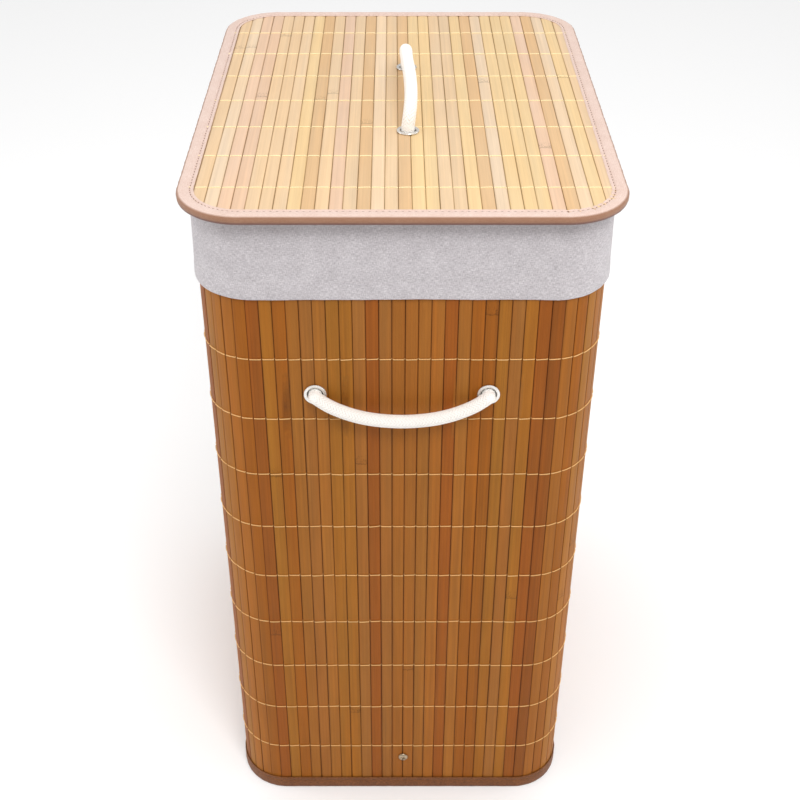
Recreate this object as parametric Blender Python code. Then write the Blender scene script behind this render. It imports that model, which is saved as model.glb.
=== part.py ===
"""Rectangular bamboo laundry hamper: a mat-walled basket, a cloth liner that folds over the rim,
a lift-off lid, and three rope handles that hang or stand in nickel eyelets.

Metres, +Z up. The origin is the middle of the footprint, on the floor. X runs across the hamper,
Y along it, and the front narrow wall faces -Y.
"""
import math

import bmesh
import bpy
import numpy as np
from mathutils import Matrix, Vector

# ---------------------------------------------------------------------------------------------
# Driving dimensions
# ---------------------------------------------------------------------------------------------
GAP = 0.0003                    # left between pieces that touch

BODY_LENGTH = 0.409             # over the mat walls, along Y
BODY_WIDTH = 0.316              # over the mat walls, along X
BODY_CORNER = 0.044             # outside radius of the upright corners
HEIGHT = 0.648                  # floor to the top of the lid
CORNER_STEPS = 6

MAT_THICKNESS = 0.0018          # bamboo slats on their strings
BACKING_THICKNESS = 0.0007      # cloth glued behind the mat
SEAM_TAPE_WIDTH = 0.020
SEAM_TAPE_THICKNESS = 0.0006

HOOP_DIAMETER = 0.004           # steel wire that keeps the rim in shape
RIM_CLOTH = 0.0005
RIM_BINDING_DROP = 0.020

BOTTOM_CLOTH = 0.0008
BOTTOM_BINDING_HEIGHT = 0.014

BATTEN_FLOOR_GAP = 0.036        # floor to the underside of the battens
BATTEN_HEIGHT = 0.018
BATTEN_DEPTH = 0.012
BATTEN_END_GAP = 0.004          # batten end to the start of the corner radius
BOARD_THICKNESS = 0.005
BOARD_FIT = 0.001               # board edge to the wall's inside

SCREW_HEAD_RADIUS = 0.0045
SCREW_HEAD_HEIGHT = 0.0024
SCREW_RADIUS = 0.0018
SCREW_LENGTH = 0.0125           # into the wall and batten, from the mat's face
SCREW_FIT = 0.0003
FRONT_SCREW_X = 0.003
SIDE_SCREW_SPACING = 0.220

LINER_CLOTH = 0.0008
CUFF_DROP = 0.070               # lid underside to the cuff's lower edge
LINER_KNOT_CLEARANCE = 0.0025
LINER_FLARE_HEIGHT = 0.095      # from just over the knots up to the rim's width
LINER_FLOOR_ROUNDING = 0.006
LINER_CORNER = 0.040

LID_END_OVERHANG = 0.0165       # lid edge beyond the mat's end walls
LID_SIDE_OVERHANG = 0.009       # and beyond its side walls
LID_CORNER = 0.050
LID_CLOTH = 0.0006
LID_BINDING_WIDTH = 0.013
LID_MAT_THICKNESS = 0.0016
LID_BOARD_THICKNESS = 0.0016
LID_LINING_THICKNESS = 0.0004

ROPE_DIAMETER = 0.0107
ROPE_FIT = 0.0013               # rope to the eyelet's hole, all round
EYELET_WALL = 0.0007
EYELET_FLANGE_WIDTH = 0.00175   # beyond the barrel
EYELET_HEIGHT = 0.0014
EYELET_FIT = 0.0003
WASHER_WIDTH = 0.0022           # beyond the barrel
WASHER_THICKNESS = 0.0008
KNOT_TURN = 0.0065              # how far a knot stands out from the rope's side
KNOT_HALF_DEPTH = 0.0090        # along the eyelet's axis
PIVOT_SINK = 0.0004             # how far a handle's swinging end reaches below the mat face

SIDE_EYELET_SPAN = 0.137        # between the two eyelets of an end handle
SIDE_EYELET_DROP = 0.164        # top of the lid to the eyelets' centres
SIDE_HANDLE_ANGLE = 30.0        # degrees that a hanging handle stands out from upright
LID_EYELET_SPAN = 0.139
LID_HANDLE_X = 0.005            # the lid handle sits a little off the middle
LID_HANDLE_LEAN = 8.0           # degrees towards +X

# An end handle's rope runs through these points: along the span from its middle, then away from
# the pivot axis. The first half is listed, and the second half mirrors it. The lid handle's
# whole route is listed from back to front, with a sideways sway between those two numbers.
SIDE_ROPE_ROUTE = ((0.0685, 0.0), (0.0640, 0.0030), (0.058, 0.0066), (0.048, 0.0110),
                   (0.033, 0.0156), (0.016, 0.0183), (0.0, 0.0191))
LID_ROPE_ROUTE = ((0.0695, 0.0, 0.0), (0.0680, -0.0006, 0.0058), (0.0632, -0.0016, 0.0115),
                  (0.0540, -0.0031, 0.0168), (0.0400, -0.0041, 0.0213), (0.0210, -0.0043, 0.0246),
                  (0.0, -0.0035, 0.0256), (-0.0210, -0.0019, 0.0246), (-0.0400, -0.0006, 0.0213),
                  (-0.0540, 0.0001, 0.0168), (-0.0632, 0.0001, 0.0115), (-0.0680, 0.0, 0.0058),
                  (-0.0695, 0.0, 0.0))
ROPE_POINTS = 25

# ---------------------------------------------------------------------------------------------
# Sizes that follow
# ---------------------------------------------------------------------------------------------
LID_THICKNESS = 2 * LID_CLOTH + LID_MAT_THICKNESS + LID_BOARD_THICKNESS + LID_LINING_THICKNESS + 4 * GAP
LID_UNDERSIDE = HEIGHT - LID_THICKNESS
LINER_TOP = LID_UNDERSIDE - GAP
RIM_TOP = LINER_TOP - LINER_CLOTH - GAP
WALL_TOP = RIM_TOP - RIM_CLOTH - GAP
WALL_BOTTOM = BOTTOM_CLOTH + GAP

EYELET_HOLE_RADIUS = ROPE_DIAMETER / 2 + ROPE_FIT
EYELET_BARREL_RADIUS = EYELET_HOLE_RADIUS + EYELET_WALL
EYELET_FLANGE_RADIUS = EYELET_BARREL_RADIUS + EYELET_FLANGE_WIDTH
WASHER_RADIUS = EYELET_BARREL_RADIUS + WASHER_WIDTH
KNOT_RADIUS = ROPE_DIAMETER / 2 + KNOT_TURN               # across the eyelet's axis
PIVOT_HEIGHT = ROPE_DIAMETER / 2 - PIVOT_SINK             # mat face to a handle's swing axis
SIDE_EYELET_Z = HEIGHT - SIDE_EYELET_DROP

WALL_DEPTH = MAT_THICKNESS + GAP + BACKING_THICKNESS      # mat face to the backing's inside
HOOP_DEPTH = WALL_DEPTH + GAP + HOOP_DIAMETER / 2         # mat face to the hoop's centre
RIM_DEPTH = WALL_DEPTH + 2 * GAP + HOOP_DIAMETER          # mat face to the inner binding leaf
LINER_DEPTH = RIM_DEPTH + RIM_CLOTH + GAP                 # mat face to the bag at the rim
CUFF_OFFSET = GAP + RIM_CLOTH + GAP                       # mat face out to the cuff's inside

BATTEN_TOP = BATTEN_FLOOR_GAP + BATTEN_HEIGHT
BOARD_TOP = BATTEN_TOP + GAP + BOARD_THICKNESS
SCREW_Z = BATTEN_FLOOR_GAP + BATTEN_HEIGHT / 2

LID_MAT_TOP = HEIGHT - LID_CLOTH - GAP
LID_BOARD_TOP = LID_MAT_TOP - LID_MAT_THICKNESS - GAP
LID_LINING_TOP = LID_BOARD_TOP - LID_BOARD_THICKNESS - GAP

SIDE_GRIP = WALL_DEPTH + GAP + WASHER_THICKNESS           # mat face to the washer's far side
LID_GRIP = LID_MAT_TOP - LID_LINING_TOP + LID_LINING_THICKNESS + GAP + WASHER_THICKNESS
KNOT_REACH = SIDE_GRIP + GAP + 2 * KNOT_HALF_DEPTH        # mat face to a knot's far side

END_WALL_Y = BODY_LENGTH / 2
SIDE_WALL_X = BODY_WIDTH / 2


# ---------------------------------------------------------------------------------------------
# Helpers
# ---------------------------------------------------------------------------------------------
class Outline:
    """A rounded rectangle seen from above, centred on the Z axis."""

    def __init__(self, length, width, corner):
        self.length = length
        self.width = width
        self.corner = corner

    def grown(self, by):
        """The same outline moved outwards by a distance, or inwards if it is negative."""
        return Outline(self.length + 2 * by, self.width + 2 * by, self.corner + by)

    def points(self, z):
        """Points anticlockwise from the +X side, with CORNER_STEPS steps round each corner."""
        found = []
        for quarter in range(4):
            sign_x = 1 if quarter in (0, 3) else -1
            sign_y = 1 if quarter in (0, 1) else -1
            centre_x = sign_x * (self.width / 2 - self.corner)
            centre_y = sign_y * (self.length / 2 - self.corner)
            for step in range(CORNER_STEPS + 1):
                angle = math.radians(90) * (quarter + step / CORNER_STEPS)
                found.append((centre_x + self.corner * math.cos(angle),
                              centre_y + self.corner * math.sin(angle), z))
        return found


BODY = Outline(BODY_LENGTH, BODY_WIDTH, BODY_CORNER)
LID = Outline(BODY_LENGTH + 2 * LID_END_OVERHANG, BODY_WIDTH + 2 * LID_SIDE_OVERHANG, LID_CORNER)


def material(name, colour, roughness, metallic=0.0):
    made = bpy.data.materials.new(name)
    made.use_nodes = True
    shader = made.node_tree.nodes["Principled BSDF"]
    shader.inputs["Base Color"].default_value = (*colour, 1.0)
    shader.inputs["Roughness"].default_value = roughness
    shader.inputs["Metallic"].default_value = metallic
    return made


def place(name, data, finish, location=(0, 0, 0), rotation=(0, 0, 0), parent=None):
    """Put a mesh or curve in the scene as a named piece."""
    piece = bpy.data.objects.new(name, data)
    bpy.context.scene.collection.objects.link(piece)
    if not data.materials:
        data.materials.append(finish)
    piece.location = location
    piece.rotation_euler = rotation
    piece.parent = parent
    return piece


def empty(name, location, parent=None):
    """A handle for what moves: its origin is on the joint's axis."""
    made = bpy.data.objects.new(name, None)
    bpy.context.scene.collection.objects.link(made)
    made.location = location
    made.parent = parent
    return made


def finished_mesh(name, shape, smooth_angle=None):
    bmesh.ops.recalc_face_normals(shape, faces=shape.faces)
    mesh = bpy.data.meshes.new(name)
    shape.to_mesh(mesh)
    shape.free()
    if smooth_angle:
        mesh.shade_smooth()
        mesh.set_sharp_from_angle(angle=math.radians(smooth_angle))
    return mesh


def ring_mesh(name, rings, closed):
    """A surface through rings of equally many points.

    A closed one comes back to its first ring. An open one is capped at both ends.
    """
    shape = bmesh.new()
    loops = [[shape.verts.new(point) for point in ring] for ring in rings]
    pairs = list(zip(loops, loops[1:]))
    if closed:
        pairs.append((loops[-1], loops[0]))
    else:
        shape.faces.new(loops[0])
        shape.faces.new(loops[-1])
    for low, high in pairs:
        for i in range(len(low)):
            j = (i + 1) % len(low)
            shape.faces.new((low[i], low[j], high[j], high[i]))
    return finished_mesh(name, shape, 40)


def band(name, outline, section):
    """Carry a closed section of (outward offset, z) points round an outline."""
    return ring_mesh(name, [outline.grown(offset).points(z) for offset, z in section], True)


def plate(name, outline, low, high):
    """A flat slab with the outline's shape."""
    shape = bmesh.new()
    face = shape.faces.new([shape.verts.new(point) for point in outline.points(low)])
    raised = bmesh.ops.extrude_face_region(shape, geom=[face])["geom"]
    corners = [item for item in raised if isinstance(item, bmesh.types.BMVert)]
    bmesh.ops.translate(shape, verts=corners, vec=(0, 0, high - low))
    return finished_mesh(name, shape)


def block(name, size):
    shape = bmesh.new()
    bmesh.ops.create_cube(shape, size=1.0, matrix=Matrix.Diagonal((*size, 1.0)))
    return finished_mesh(name, shape)


def turned(name, profile, steps, closed):
    """Spin (radius, z) points about Z. An open profile starts and ends on the axis."""
    shape = bmesh.new()
    points = [shape.verts.new((radius, 0, z)) for radius, z in profile]
    edges = [shape.edges.new(pair) for pair in zip(points, points[1:])]
    if closed:
        edges.append(shape.edges.new((points[-1], points[0])))
    bmesh.ops.spin(shape, geom=points + edges, axis=(0, 0, 1), cent=(0, 0, 0), steps=steps,
                   angle=math.radians(360), use_merge=True)
    bmesh.ops.remove_doubles(shape, verts=shape.verts, dist=1e-6)
    return finished_mesh(name, shape, 40)


def bevelled(piece, width):
    modifier = piece.modifiers.new("Bevel", "BEVEL")
    modifier.width = width
    modifier.segments = 2
    return piece


def drilled(piece, cutter):
    modifier = piece.modifiers.new("Holes", "BOOLEAN")
    modifier.operation = "DIFFERENCE"
    modifier.solver = "EXACT"
    modifier.object = cutter
    return piece


def drill(name, holes):
    """A hidden cutter. Each hole is its matrix, radius and low and high ends on its own Z axis."""
    shape = bmesh.new()
    for matrix, radius, low, high in holes:
        middle = Matrix.Translation((0, 0, (low + high) / 2))
        bmesh.ops.create_cone(shape, cap_ends=True, segments=20, radius1=radius, radius2=radius,
                              depth=high - low, matrix=matrix @ middle)
    cutter = place(name, finished_mesh(name, shape), STEEL)
    cutter.hide_render = True
    cutter.display_type = "WIRE"
    return cutter


def on_wall(side, along, z):
    """A frame on the mat's outer face, its Z axis pointing out of the wall."""
    turns = {"front": (180, (along, -END_WALL_Y, z)), "back": (0, (along, END_WALL_Y, z)),
             "left": (90, (-SIDE_WALL_X, along, z)), "right": (-90, (SIDE_WALL_X, along, z))}
    turn, place_at = turns[side]
    upright = Matrix.Rotation(math.radians(-90), 4, "X")
    return Matrix.Translation(place_at) @ Matrix.Rotation(math.radians(turn), 4, "Z") @ upright


def set_in_wall(name, mesh, finish, matrix, parent=None):
    """Place a turned piece by a frame that on_wall gives."""
    location, rotation, _ = matrix.decompose()
    return place(name, mesh, finish, location, rotation.to_euler(), parent)


def smooth_route(points, count):
    """Evenly spaced points on the natural cubic curve through hand-chosen ones."""
    knots = np.array(points, float)
    steps = np.linalg.norm(np.diff(knots, axis=0), axis=1)
    along = np.concatenate(([0.0], np.cumsum(steps)))
    system = np.eye(len(knots))
    target = np.zeros_like(knots)
    for i in range(1, len(knots) - 1):
        system[i, i - 1:i + 2] = steps[i - 1], 2 * (steps[i - 1] + steps[i]), steps[i]
        target[i] = 6 * ((knots[i + 1] - knots[i]) / steps[i] - (knots[i] - knots[i - 1]) / steps[i - 1])
    bend = np.linalg.solve(system, target)

    def curve_at(place_on):
        i = np.clip(np.searchsorted(along, place_on) - 1, 0, len(steps) - 1)
        left = (place_on - along[i])[:, None]
        right = (along[i + 1] - place_on)[:, None]
        span = steps[i][:, None]
        return (bend[i] * right ** 3 / (6 * span) + bend[i + 1] * left ** 3 / (6 * span)
                + (knots[i] / span - bend[i] * span / 6) * right
                + (knots[i + 1] / span - bend[i + 1] * span / 6) * left)

    fine = np.linspace(0, along[-1], 40 * count)
    dense = curve_at(fine)
    length = np.concatenate(([0.0], np.cumsum(np.linalg.norm(np.diff(dense, axis=0), axis=1))))
    return curve_at(np.interp(np.linspace(0, length[-1], count), length, fine))


def tube_curve(name, points, diameter, sides_level, cyclic=False):
    curve = bpy.data.curves.new(name, "CURVE")
    curve.dimensions = "3D"
    curve.bevel_depth = diameter / 2
    curve.bevel_resolution = sides_level
    curve.use_fill_caps = not cyclic
    spline = curve.splines.new("POLY")
    spline.points.add(len(points) - 1)
    for target, point in zip(spline.points, points):
        target.co = (*point, 1.0)
    spline.use_cyclic_u = cyclic
    return curve


def mirrored(half_route):
    """A flat handle's whole route: the listed half, then the same half the other way round."""
    half = [(along, 0.0, away) for along, away in half_route]
    return half + [(-along, sway, away) for along, sway, away in reversed(half[:-1])]


def handle_points(route, span):
    """The whole route in a handle's own plane: X along the span, -Z away from the pivot axis.

    The chosen points are moved outwards or inwards to end on the eyelets' span.
    """
    stretch = span / 2 / route[0][0]
    return smooth_route([(along * stretch, sway, -away) for along, sway, away in route], ROPE_POINTS)


# ---------------------------------------------------------------------------------------------
# Start clean, and the finishes
# ---------------------------------------------------------------------------------------------
for old in list(bpy.data.objects):
    bpy.data.objects.remove(old, do_unlink=True)

BAMBOO = material("caramel_bamboo", (0.42, 0.19, 0.065), 0.42)
LID_BAMBOO = material("honey_bamboo", (0.72, 0.50, 0.24), 0.45)
BACKING = material("backing_cloth", (0.45, 0.33, 0.22), 0.90)
BOARD = material("fibreboard", (0.46, 0.33, 0.20), 0.75)
BATTEN = material("pine_batten", (0.66, 0.48, 0.28), 0.65)
BINDING = material("binding_tape", (0.45, 0.21, 0.10), 0.85)
LID_BINDING = material("lid_binding_tape", (0.76, 0.52, 0.42), 0.85)
LINER = material("liner_cloth", (0.60, 0.58, 0.58), 0.92)
ROPE = material("cotton_rope", (0.90, 0.87, 0.82), 0.90)
NICKEL = material("nickel", (0.78, 0.76, 0.72), 0.22, 1.0)
STEEL = material("steel_wire", (0.45, 0.45, 0.46), 0.40, 1.0)

# ---------------------------------------------------------------------------------------------
# Basket: walls, rim and bottom edge
# ---------------------------------------------------------------------------------------------
WALLS = ("front", "back", "left", "right")
SIDES = (("left", -1), ("right", 1))
END_DIRECTIONS = (("front", -1), ("back", 1))

screw_frames = {"front": on_wall("front", FRONT_SCREW_X, SCREW_Z),
                "back": on_wall("back", FRONT_SCREW_X, SCREW_Z)}
for wall, _ in SIDES:
    for end, sign in END_DIRECTIONS:
        screw_frames[f"{wall}_{end}"] = on_wall(wall, sign * SIDE_SCREW_SPACING / 2, SCREW_Z)

side_eyelet_frames = {}
for end, _ in END_DIRECTIONS:
    for side, sign in SIDES:
        side_eyelet_frames[f"{end}_{side}"] = on_wall(end, sign * SIDE_EYELET_SPAN / 2, SIDE_EYELET_Z)

screw_holes = [(frame, SCREW_RADIUS + SCREW_FIT, -SCREW_LENGTH - 4 * SCREW_FIT, 3 * SCREW_FIT)
               for frame in screw_frames.values()]
eyelet_holes = [(frame, EYELET_BARREL_RADIUS + EYELET_FIT, -2 * WALL_DEPTH, 2 * WALL_DEPTH)
                for frame in side_eyelet_frames.values()]
wall_drill = drill("wall_drill", screw_holes + eyelet_holes)
batten_drill = drill("batten_drill", screw_holes)

drilled(place("wall_mat", band("wall_mat", BODY, (
    (0, WALL_BOTTOM), (0, WALL_TOP), (-MAT_THICKNESS, WALL_TOP), (-MAT_THICKNESS, WALL_BOTTOM))),
    BAMBOO), wall_drill)

backing_face = -MAT_THICKNESS - GAP
drilled(place("wall_backing", band("wall_backing", BODY, (
    (backing_face, WALL_BOTTOM), (backing_face, WALL_TOP), (-WALL_DEPTH, WALL_TOP),
    (-WALL_DEPTH, WALL_BOTTOM))), BACKING), wall_drill)

# The mat is one long strip: its two ends meet near the back right corner under a tape.
tape_low = BOARD_TOP + BOARD_THICKNESS
tape_high = RIM_TOP - RIM_BINDING_DROP - GAP
place("wall_seam_tape",
      block("wall_seam_tape", (SEAM_TAPE_THICKNESS, SEAM_TAPE_WIDTH, tape_high - tape_low)), BACKING,
      (SIDE_WALL_X - WALL_DEPTH - GAP - SEAM_TAPE_THICKNESS / 2,
       END_WALL_Y - BODY_CORNER - SEAM_TAPE_WIDTH, (tape_low + tape_high) / 2))

hoop_z = WALL_TOP - HOOP_DIAMETER / 2
place("rim_hoop", tube_curve("rim_hoop", BODY.grown(-HOOP_DEPTH).points(hoop_z), HOOP_DIAMETER, 2,
                             cyclic=True), STEEL)

rim_outside = GAP + RIM_CLOTH
rim_inside = -RIM_DEPTH - RIM_CLOTH
rim_under = RIM_TOP - RIM_CLOTH
rim_low = RIM_TOP - RIM_BINDING_DROP
place("rim_binding", band("rim_binding", BODY, (
    (rim_outside, rim_low), (rim_outside, RIM_TOP), (rim_inside, RIM_TOP), (rim_inside, rim_low),
    (-RIM_DEPTH, rim_low), (-RIM_DEPTH, rim_under), (GAP, rim_under), (GAP, rim_low))), BINDING)

leaf_outside = GAP + BOTTOM_CLOTH
leaf_inside = -WALL_DEPTH - GAP
place("bottom_binding", band("bottom_binding", BODY, (
    (leaf_outside, 0), (leaf_outside, BOTTOM_BINDING_HEIGHT), (GAP, BOTTOM_BINDING_HEIGHT),
    (GAP, BOTTOM_CLOTH), (leaf_inside, BOTTOM_CLOTH), (leaf_inside, BOTTOM_BINDING_HEIGHT),
    (leaf_inside - BOTTOM_CLOTH, BOTTOM_BINDING_HEIGHT), (leaf_inside - BOTTOM_CLOTH, 0))), BINDING)

# ---------------------------------------------------------------------------------------------
# Basket: the raised base board on its battens, and the screws that hold them
# ---------------------------------------------------------------------------------------------
place("base_board", plate("base_board", BODY.grown(-WALL_DEPTH - BOARD_FIT), BATTEN_TOP + GAP,
                          BOARD_TOP), BOARD)

end_batten_length = BODY_WIDTH - 2 * (BODY_CORNER + BATTEN_END_GAP)
side_batten_length = BODY_LENGTH - 2 * (BODY_CORNER + BATTEN_END_GAP)
batten_depth_to_middle = WALL_DEPTH + GAP + BATTEN_DEPTH / 2
batten_sizes = {"front": (end_batten_length, BATTEN_DEPTH), "back": (end_batten_length, BATTEN_DEPTH),
                "left": (BATTEN_DEPTH, side_batten_length),
                "right": (BATTEN_DEPTH, side_batten_length)}
for wall in WALLS:
    name = f"base_batten_{wall}"
    middle = on_wall(wall, 0, SCREW_Z) @ Vector((0, 0, -batten_depth_to_middle))
    batten = place(name, block(name, (*batten_sizes[wall], BATTEN_HEIGHT)), BATTEN, middle)
    drilled(bevelled(batten, 0.001), batten_drill)

dome = [(SCREW_HEAD_RADIUS * math.cos(angle), GAP + (SCREW_HEAD_HEIGHT - GAP) * math.sin(angle))
        for angle in np.radians((0, 25, 50, 72))]
screw_mesh = turned("base_screw", [
    (0, -SCREW_LENGTH), (SCREW_RADIUS, -SCREW_LENGTH + 2 * SCREW_RADIUS), (SCREW_RADIUS, GAP), *dome,
    (0, SCREW_HEAD_HEIGHT)], 12, closed=False)
for place_name, frame in screw_frames.items():
    set_in_wall(f"base_screw_{place_name}", screw_mesh, NICKEL, frame)


# ---------------------------------------------------------------------------------------------
# Eyelets, washers and knots, the same on the walls and the lid
# ---------------------------------------------------------------------------------------------
def eyelet_mesh(name, grip):
    """A rolled flange with a barrel that reaches through the layers and the washer behind them."""
    crest = (EYELET_HOLE_RADIUS + EYELET_FLANGE_RADIUS) / 2
    return turned(name, [
        (EYELET_BARREL_RADIUS, -grip), (EYELET_BARREL_RADIUS, GAP), (EYELET_FLANGE_RADIUS, GAP),
        (EYELET_FLANGE_RADIUS - 0.0002, EYELET_HEIGHT / 2), (crest + 0.0005, EYELET_HEIGHT),
        (crest - 0.0005, EYELET_HEIGHT), (EYELET_HOLE_RADIUS, EYELET_HEIGHT / 2),
        (EYELET_HOLE_RADIUS, -grip)], 20, closed=True)


def washer_mesh(name, grip):
    hole = EYELET_BARREL_RADIUS + EYELET_FIT
    return turned(name, [
        (hole, -grip), (hole, WASHER_THICKNESS - grip), (WASHER_RADIUS, WASHER_THICKNESS - grip),
        (WASHER_RADIUS, -grip)], 20, closed=True)


def knot_mesh(name, grip):
    """A round knot behind the washer, and the rope's stub up through the eyelet."""
    rope = ROPE_DIAMETER / 2
    centre = -grip - GAP - KNOT_HALF_DEPTH
    neck = math.pi - math.asin(rope / KNOT_RADIUS)
    angles = np.linspace(0.35, neck, 7)
    stub_top = -PIVOT_SINK - GAP
    ball = [(KNOT_RADIUS * math.sin(angle), centre - KNOT_HALF_DEPTH * math.cos(angle))
            for angle in angles]
    return turned(name, [(0, centre - KNOT_HALF_DEPTH), *ball, (rope, stub_top), (0, stub_top)], 12,
                  closed=False)


side_eyelet = eyelet_mesh("side_eyelet", SIDE_GRIP)
side_washer = washer_mesh("side_eyelet_washer", SIDE_GRIP)
side_knot = knot_mesh("side_rope_knot", SIDE_GRIP)
for place_name, frame in side_eyelet_frames.items():
    set_in_wall(f"side_eyelet_{place_name}", side_eyelet, NICKEL, frame)
    set_in_wall(f"side_eyelet_washer_{place_name}", side_washer, NICKEL, frame)
    set_in_wall(f"side_rope_knot_{place_name}", side_knot, ROPE, frame)

# ---------------------------------------------------------------------------------------------
# End handles: each rope hangs from its pivot axis, just outside its two eyelets
# ---------------------------------------------------------------------------------------------
for end, sign in END_DIRECTIONS:
    hinge = empty(f"handle_{end}_hinge", (0, sign * (END_WALL_Y + PIVOT_HEIGHT), SIDE_EYELET_Z))
    route = handle_points(mirrored(SIDE_ROPE_ROUTE), SIDE_EYELET_SPAN)
    name = f"handle_{end}_rope"
    place(name, tube_curve(name, route, ROPE_DIAMETER, 2), ROPE,
          rotation=(sign * math.radians(SIDE_HANDLE_ANGLE), 0, 0), parent=hinge)

# ---------------------------------------------------------------------------------------------
# Liner: one bag that stands on the base board, clears the knots, folds over the rim as a cuff,
# and lifts straight out
# ---------------------------------------------------------------------------------------------
liner_lift = empty("liner_lift", (0, 0, BOARD_TOP))
bag_mouth = BODY.grown(-LINER_DEPTH)
bag_body = Outline(BODY_LENGTH - 2 * (KNOT_REACH + LINER_KNOT_CLEARANCE), BODY_WIDTH - 2 * LINER_DEPTH,
                   LINER_CORNER)
bag_floor = BOARD_TOP + GAP
flare_low = SIDE_EYELET_Z + KNOT_RADIUS + LINER_KNOT_CLEARANCE
flare_high = flare_low + LINER_FLARE_HEIGHT
cuff_inside = BODY.grown(CUFF_OFFSET)
cuff_low = LID_UNDERSIDE - CUFF_DROP

outer_skin = [
    (bag_body.grown(-LINER_FLOOR_ROUNDING), bag_floor),
    (bag_body, bag_floor + LINER_FLOOR_ROUNDING), (bag_body, flare_low), (bag_mouth, flare_high),
    (bag_mouth, LINER_TOP - LINER_CLOTH), (cuff_inside, LINER_TOP - LINER_CLOTH),
    (cuff_inside, cuff_low)]
inner_skin = [
    (cuff_inside.grown(LINER_CLOTH), cuff_low), (cuff_inside.grown(LINER_CLOTH), LINER_TOP),
    (bag_mouth.grown(-LINER_CLOTH), LINER_TOP), (bag_mouth.grown(-LINER_CLOTH), flare_high),
    (bag_body.grown(-LINER_CLOTH), flare_low),
    (bag_body.grown(-LINER_CLOTH), bag_floor + LINER_FLOOR_ROUNDING),
    (bag_body.grown(-LINER_FLOOR_ROUNDING), bag_floor + LINER_CLOTH)]
liner_rings = [Outline.points(outline, z - BOARD_TOP) for outline, z in outer_skin + inner_skin]
place("liner_bag", ring_mesh("liner_bag", liner_rings, closed=False), LINER, parent=liner_lift)

# ---------------------------------------------------------------------------------------------
# Lid: mat, board and lining in one folded edge binding
# ---------------------------------------------------------------------------------------------
lid_lift = empty("lid_lift", (0, 0, LID_UNDERSIDE - BOARD_TOP), parent=liner_lift)
lid_eyelet_places = {end: (LID_HANDLE_X, sign * LID_EYELET_SPAN / 2, LID_MAT_TOP - LID_UNDERSIDE)
                     for end, sign in END_DIRECTIONS}
lid_drill = drill("lid_drill", [
    (Matrix.Translation(spot), EYELET_BARREL_RADIUS + EYELET_FIT, -2 * LID_GRIP, 2 * LID_GRIP)
    for spot in lid_eyelet_places.values()])
lid_drill.parent = lid_lift

lid_inside = LID.grown(-LID_CLOTH - GAP)
lid_layers = (("lid_mat", LID_MAT_TOP, LID_MAT_THICKNESS, LID_BAMBOO),
              ("lid_board", LID_BOARD_TOP, LID_BOARD_THICKNESS, BOARD),
              ("lid_lining", LID_LINING_TOP, LID_LINING_THICKNESS, LINER))
for name, top, thickness, finish in lid_layers:
    top -= LID_UNDERSIDE
    drilled(place(name, plate(name, lid_inside, top - thickness, top), finish, parent=lid_lift),
            lid_drill)

place("lid_binding", band("lid_binding", LID, (
    (0, 0), (0, LID_THICKNESS), (-LID_BINDING_WIDTH, LID_THICKNESS),
    (-LID_BINDING_WIDTH, LID_THICKNESS - LID_CLOTH), (-LID_CLOTH, LID_THICKNESS - LID_CLOTH),
    (-LID_CLOTH, LID_CLOTH), (-LID_BINDING_WIDTH, LID_CLOTH), (-LID_BINDING_WIDTH, 0))),
    LID_BINDING, parent=lid_lift)

lid_eyelet = eyelet_mesh("lid_eyelet", LID_GRIP)
lid_washer = washer_mesh("lid_eyelet_washer", LID_GRIP)
lid_knot = knot_mesh("lid_rope_knot", LID_GRIP)
for end, spot in lid_eyelet_places.items():
    place(f"lid_eyelet_{end}", lid_eyelet, NICKEL, spot, parent=lid_lift)
    place(f"lid_eyelet_washer_{end}", lid_washer, NICKEL, spot, parent=lid_lift)
    place(f"lid_rope_knot_{end}", lid_knot, ROPE, spot, parent=lid_lift)

# The lid's rope stands up on its own stiffness and leans a little to one side.
lid_handle_hinge = empty("lid_handle_hinge",
                         (LID_HANDLE_X, 0, LID_MAT_TOP + PIVOT_HEIGHT - LID_UNDERSIDE), parent=lid_lift)
place("lid_handle_rope",
      tube_curve("lid_handle_rope", handle_points(LID_ROPE_ROUTE, LID_EYELET_SPAN), ROPE_DIAMETER, 2),
      ROPE, rotation=(math.radians(180 + LID_HANDLE_LEAN), 0, math.radians(90)),
      parent=lid_handle_hinge)
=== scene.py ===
"""A rectangular bamboo laundry hamper with a cloth liner, a lift-off lid and rope handles.

Everything is in metres in the frame's own axes: +Z up, X across the hamper, Y along it, and the
front narrow wall facing -Y. Each section makes one piece, or one group of like pieces.
"""
import math

import bmesh
import bpy
import numpy as np
from mathutils import Matrix, Vector


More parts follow.
